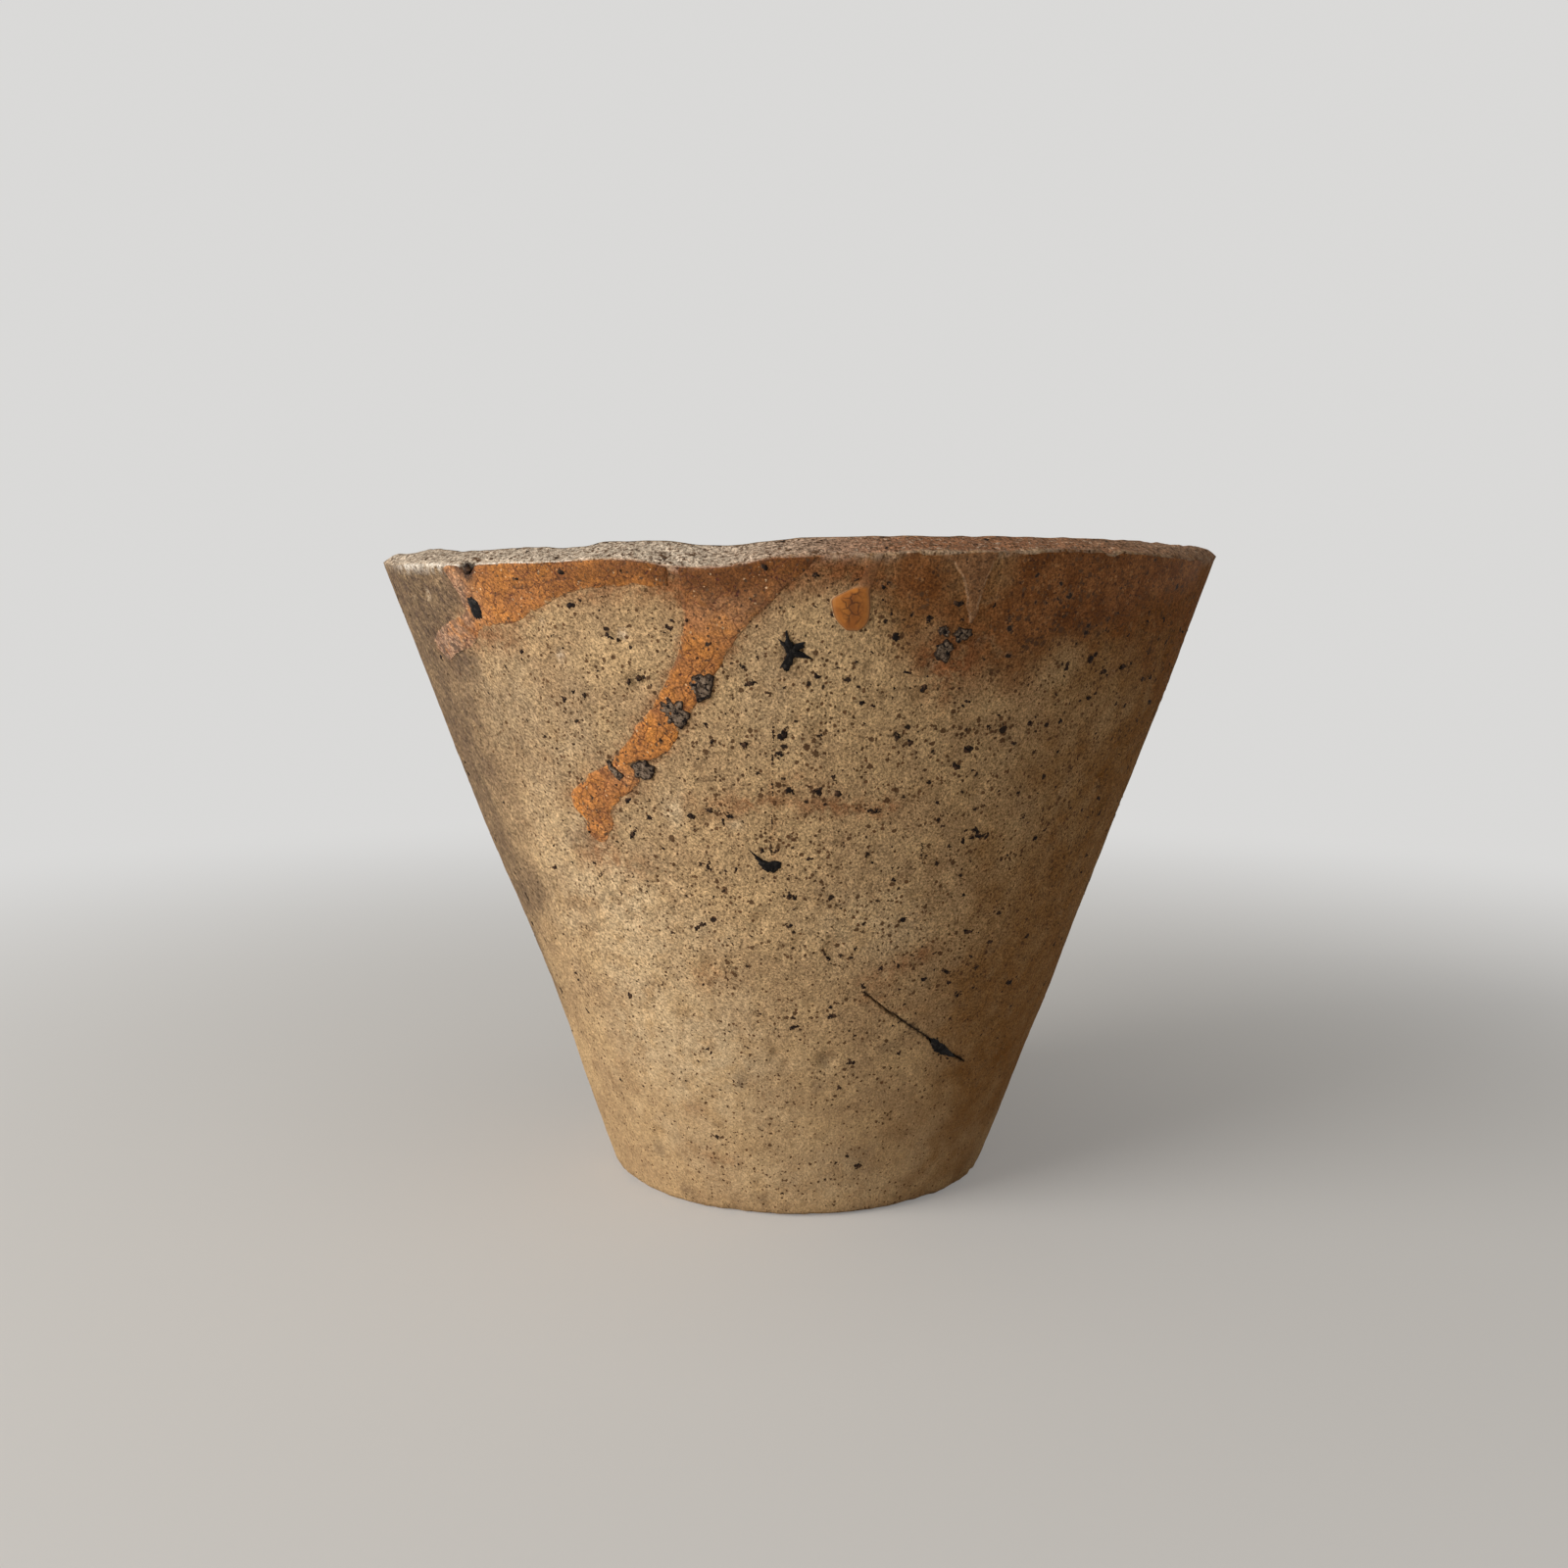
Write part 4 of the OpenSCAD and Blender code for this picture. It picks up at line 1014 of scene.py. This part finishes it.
def settle(piece):
    """Leans a piece a little to the right below the rim and draws it in on the left, as photographed."""
    p, az, z, _ = places(piece)
    r = np.hypot(p[:, 0], p[:, 1])
    across, up = near(az, HOLLOW_MIDDLE[0]) / HOLLOW_REACH[0], (z - HOLLOW_MIDDLE[1]) / HOLLOW_REACH[1]
    hollow = HOLLOW_DEPTH * np.exp(-across ** 2 - up ** 2) * np.clip(r / 30, 0, 1)
    p[:, :2] *= (1 - hollow / np.maximum(r, 1))[:, None]
    p[:, 0] += LEAN_OVER * (1 - np.clip(z / RIM_H, 0, 1) ** 6)
    piece.data.vertices.foreach_set("co", (p * MM).ravel())
    piece.data.update()


def dress(piece, material, slot, *nodes):
    """Finishes a piece and ties it to the frame: its body and the CAD nodes that it replaces. The slot is not
    used.
    """
    settle(piece)
    piece.data.materials.append(material)
    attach(piece, ROOT)
    if nodes:
        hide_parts(*nodes)


def lining():
    """The glass left in the hollow: a thin wavy skin on its wall and a pool on its floor."""
    az = np.arange(360) * 1.0
    p = ring(az, 60.0, 100.0)
    top = rim_z(az) - LINING_DROP + 2.2 * lumps(p, 17, 31) + 1.0 * lumps(p, 6, 32)
    back = hollow_rows(az, top, -0.15, -0.15, 46)
    front = hollow_rows(az, top - 0.4, LINING_T, POOL_T, 46)
    rows = [ring(az, r, z) for r, z in back[::-1]]
    for k, (r, z) in enumerate(front):
        q = ring(az, r, z)
        drips = lumps(q * np.array([1, 1, 0.22]), 6, 33) + 0.5 * lumps(q * np.array([1, 1, 0.3]), 2.6, 34)
        wall = smoothstep(0, 5, k) * smoothstep(52, 45, k)
        thin = 0.55 * (1 - smoothstep(0, 3, k))
        rows.append(ring(az, r + thin - 0.4 * wall * np.clip(drips + 0.2, -0.6, 1.2), z))
    points, faces = turned_body(rows)
    return mesh_piece("glass_lining", points, [f[::-1] for f in faces])


# ---- Camera, light and floor: the camera and the lamps are placed in metres ----

def camera():
    """The camera as the photograph's perspective gives it: close by, just below the height of the rim."""
    data = bpy.data.cameras.new("camera")
    data.lens = data.sensor_width = 36
    data.clip_start, data.clip_end = 0.01, 20
    made = placed("camera", data)
    made.location = (-0.00245, -0.3034, 0.1076)
    looks_down, roll = radians(6.486), radians(-0.156)
    made.rotation_euler = (pi / 2 - looks_down, roll, 0)
    bpy.context.scene.camera = made


def lamp(name, azimuth, height, distance, size, watts, colour=(1, 1, 1)):
    """A soft square lamp aimed at the middle of the vessel."""
    data = bpy.data.lights.new(name, "AREA")
    data.size, data.energy, data.color = size, watts, colour
    made = placed(name, data)
    made.location = Vector(ring(azimuth, distance, height))
    middle = Vector((0, 0, 0.06))
    aim = middle - made.location
    made.rotation_euler = aim.to_track_quat("-Z", "Y").to_euler()
    made.visible_camera = False


PLAIN = (0.70, 0.695, 0.685)


def seen(g):
    """1 for rays from the camera, off gloss and through glass, and 0 for those that bring light."""
    path = g.add("LightPath").outputs
    either = g.math("MAXIMUM", path["Is Camera Ray"], path["Is Glossy Ray"])
    return g.math("MAXIMUM", either, path["Is Transmission Ray"])


def studio():
    """Three soft lamps, and a plain backdrop whose own light is darker and warmer than it looks."""
    lamp("key", -58, 0.45, 1.0, 0.7, 11.5, (1, 0.985, 0.96))
    lamp("fill", 70, 0.6, 1.4, 1.0, 1.2, (1, 0.88, 0.74))
    lamp("top", 0, 1.3, 0.2, 0.8, 1.5)
    world = bpy.data.worlds.new("world")
    g = Finish("world", world)
    soft = g.add("Background", {"Color": (0.175, 0.160, 0.138)})
    plain = g.add("Background", {"Color": PLAIN})
    both = g.add("MixShader", {0: seen(g), 1: soft.outputs[0], 2: plain.outputs[0]})
    g.add("OutputWorld", {"Surface": both.outputs[0]})
    bpy.context.scene.world = world


def floor():
    """A pale floor that takes the shadow, and fades into the plain backdrop far behind."""
    radius, sides = 4000.0, 96
    az = np.arange(sides) * 360 / sides
    points = np.concatenate([[[0, 0, 0]], ring(az, radius, 0 * az)])
    piece = mesh_piece("floor", points, fan(0, 1, sides))
    g = Finish("plain_floor")
    far = g.add("VectorMath", {0: g.place}, operation="LENGTH").outputs["Value"]
    near_by = g.add("BsdfDiffuse", {"Color": (0.68, 0.66, 0.63)})
    backdrop = g.add("Emission", {"Color": PLAIN})
    share = g.times(g.span(far, 0.1, 0.5, 0.25, 1.0, True), seen(g))
    both = g.add("MixShader", {0: share, 1: near_by.outputs[0], 2: backdrop.outputs[0]})
    g.add("OutputMaterial", {"Surface": both.outputs[0]})
    piece.data.materials.append(g.owner)


camera()
studio()
floor()
bpy.context.scene.view_settings.view_transform = "Standard"

sheet = joined("crackled_sheet", [ribbon(SHEET, 0.26, 100)])
run = joined("orange_run", [ribbon(RUN, 0.3, 110)])
film = joined("brown_film", [ribbon(FILM_LEFT, 0.15, 120), ribbon(FILM_RIGHT, 0.15, 130)])
rivulet = joined("pale_rivulet", [ribbon(DRIP, 0.2, 140, across=18, roll=1.2)])
drop = joined("amber_drop", [ribbon(DROP, 0.6, 150, wander=0.12, waves=0.1, roll=2.8)])
pot = vessel()
paint_wall(pot, halo_of(pot, [sheet, run]))

orange = orange_glass()
dress(pot, clay(), "fireclay", "crucible_body")
dress(sheet, orange, "orange_glass", "glaze_sheet_left")
dress(run, orange, "orange_glass", "glaze_run_centre")
dress(film, brown_film(), "brown_glass", "glaze_film_right")
dress(rivulet, pale_rivulet(), "pale_glass", "glaze_drip_right")
dress(drop, amber_glass(), "amber_glass", "glaze_drop_amber")
dress(lining(), lining_glass(), "lining_glass", "glaze_lining")

slag = black_slag()
dress(joined("iron_star", [outlined(-1.3, rim_z(-1.4) - 14, STAR, 0.35, 120)]), slag, "slag", "slag_star")
dress(joined("slag_drop", [outlined(-5.2, rim_z(-5.2) - 47.6, BLEB, 0.45, 110)]), slag, "slag", "slag_bleb")
dress(joined("slag_patch", [outlined(-43.9, rim_z(-43.9) - 6.9, OVAL, 0.5, 90)]), slag, "slag", "slag_oval")
dress(joined("crack_slag", [outlined(30, 32.6, CAP, 0.3, 110)]), slag, "slag", "slag_crack_cap")
iron = iron_slag()
dress(joined("iron_beads", spot_beads()), iron, "iron", "iron_spots")
dress(joined("iron_flakes", flakes()), iron, "iron")
dress(joined("crystal_crusts", crystal_beads()), ash_crust(), "crystal", "ash_crystals")
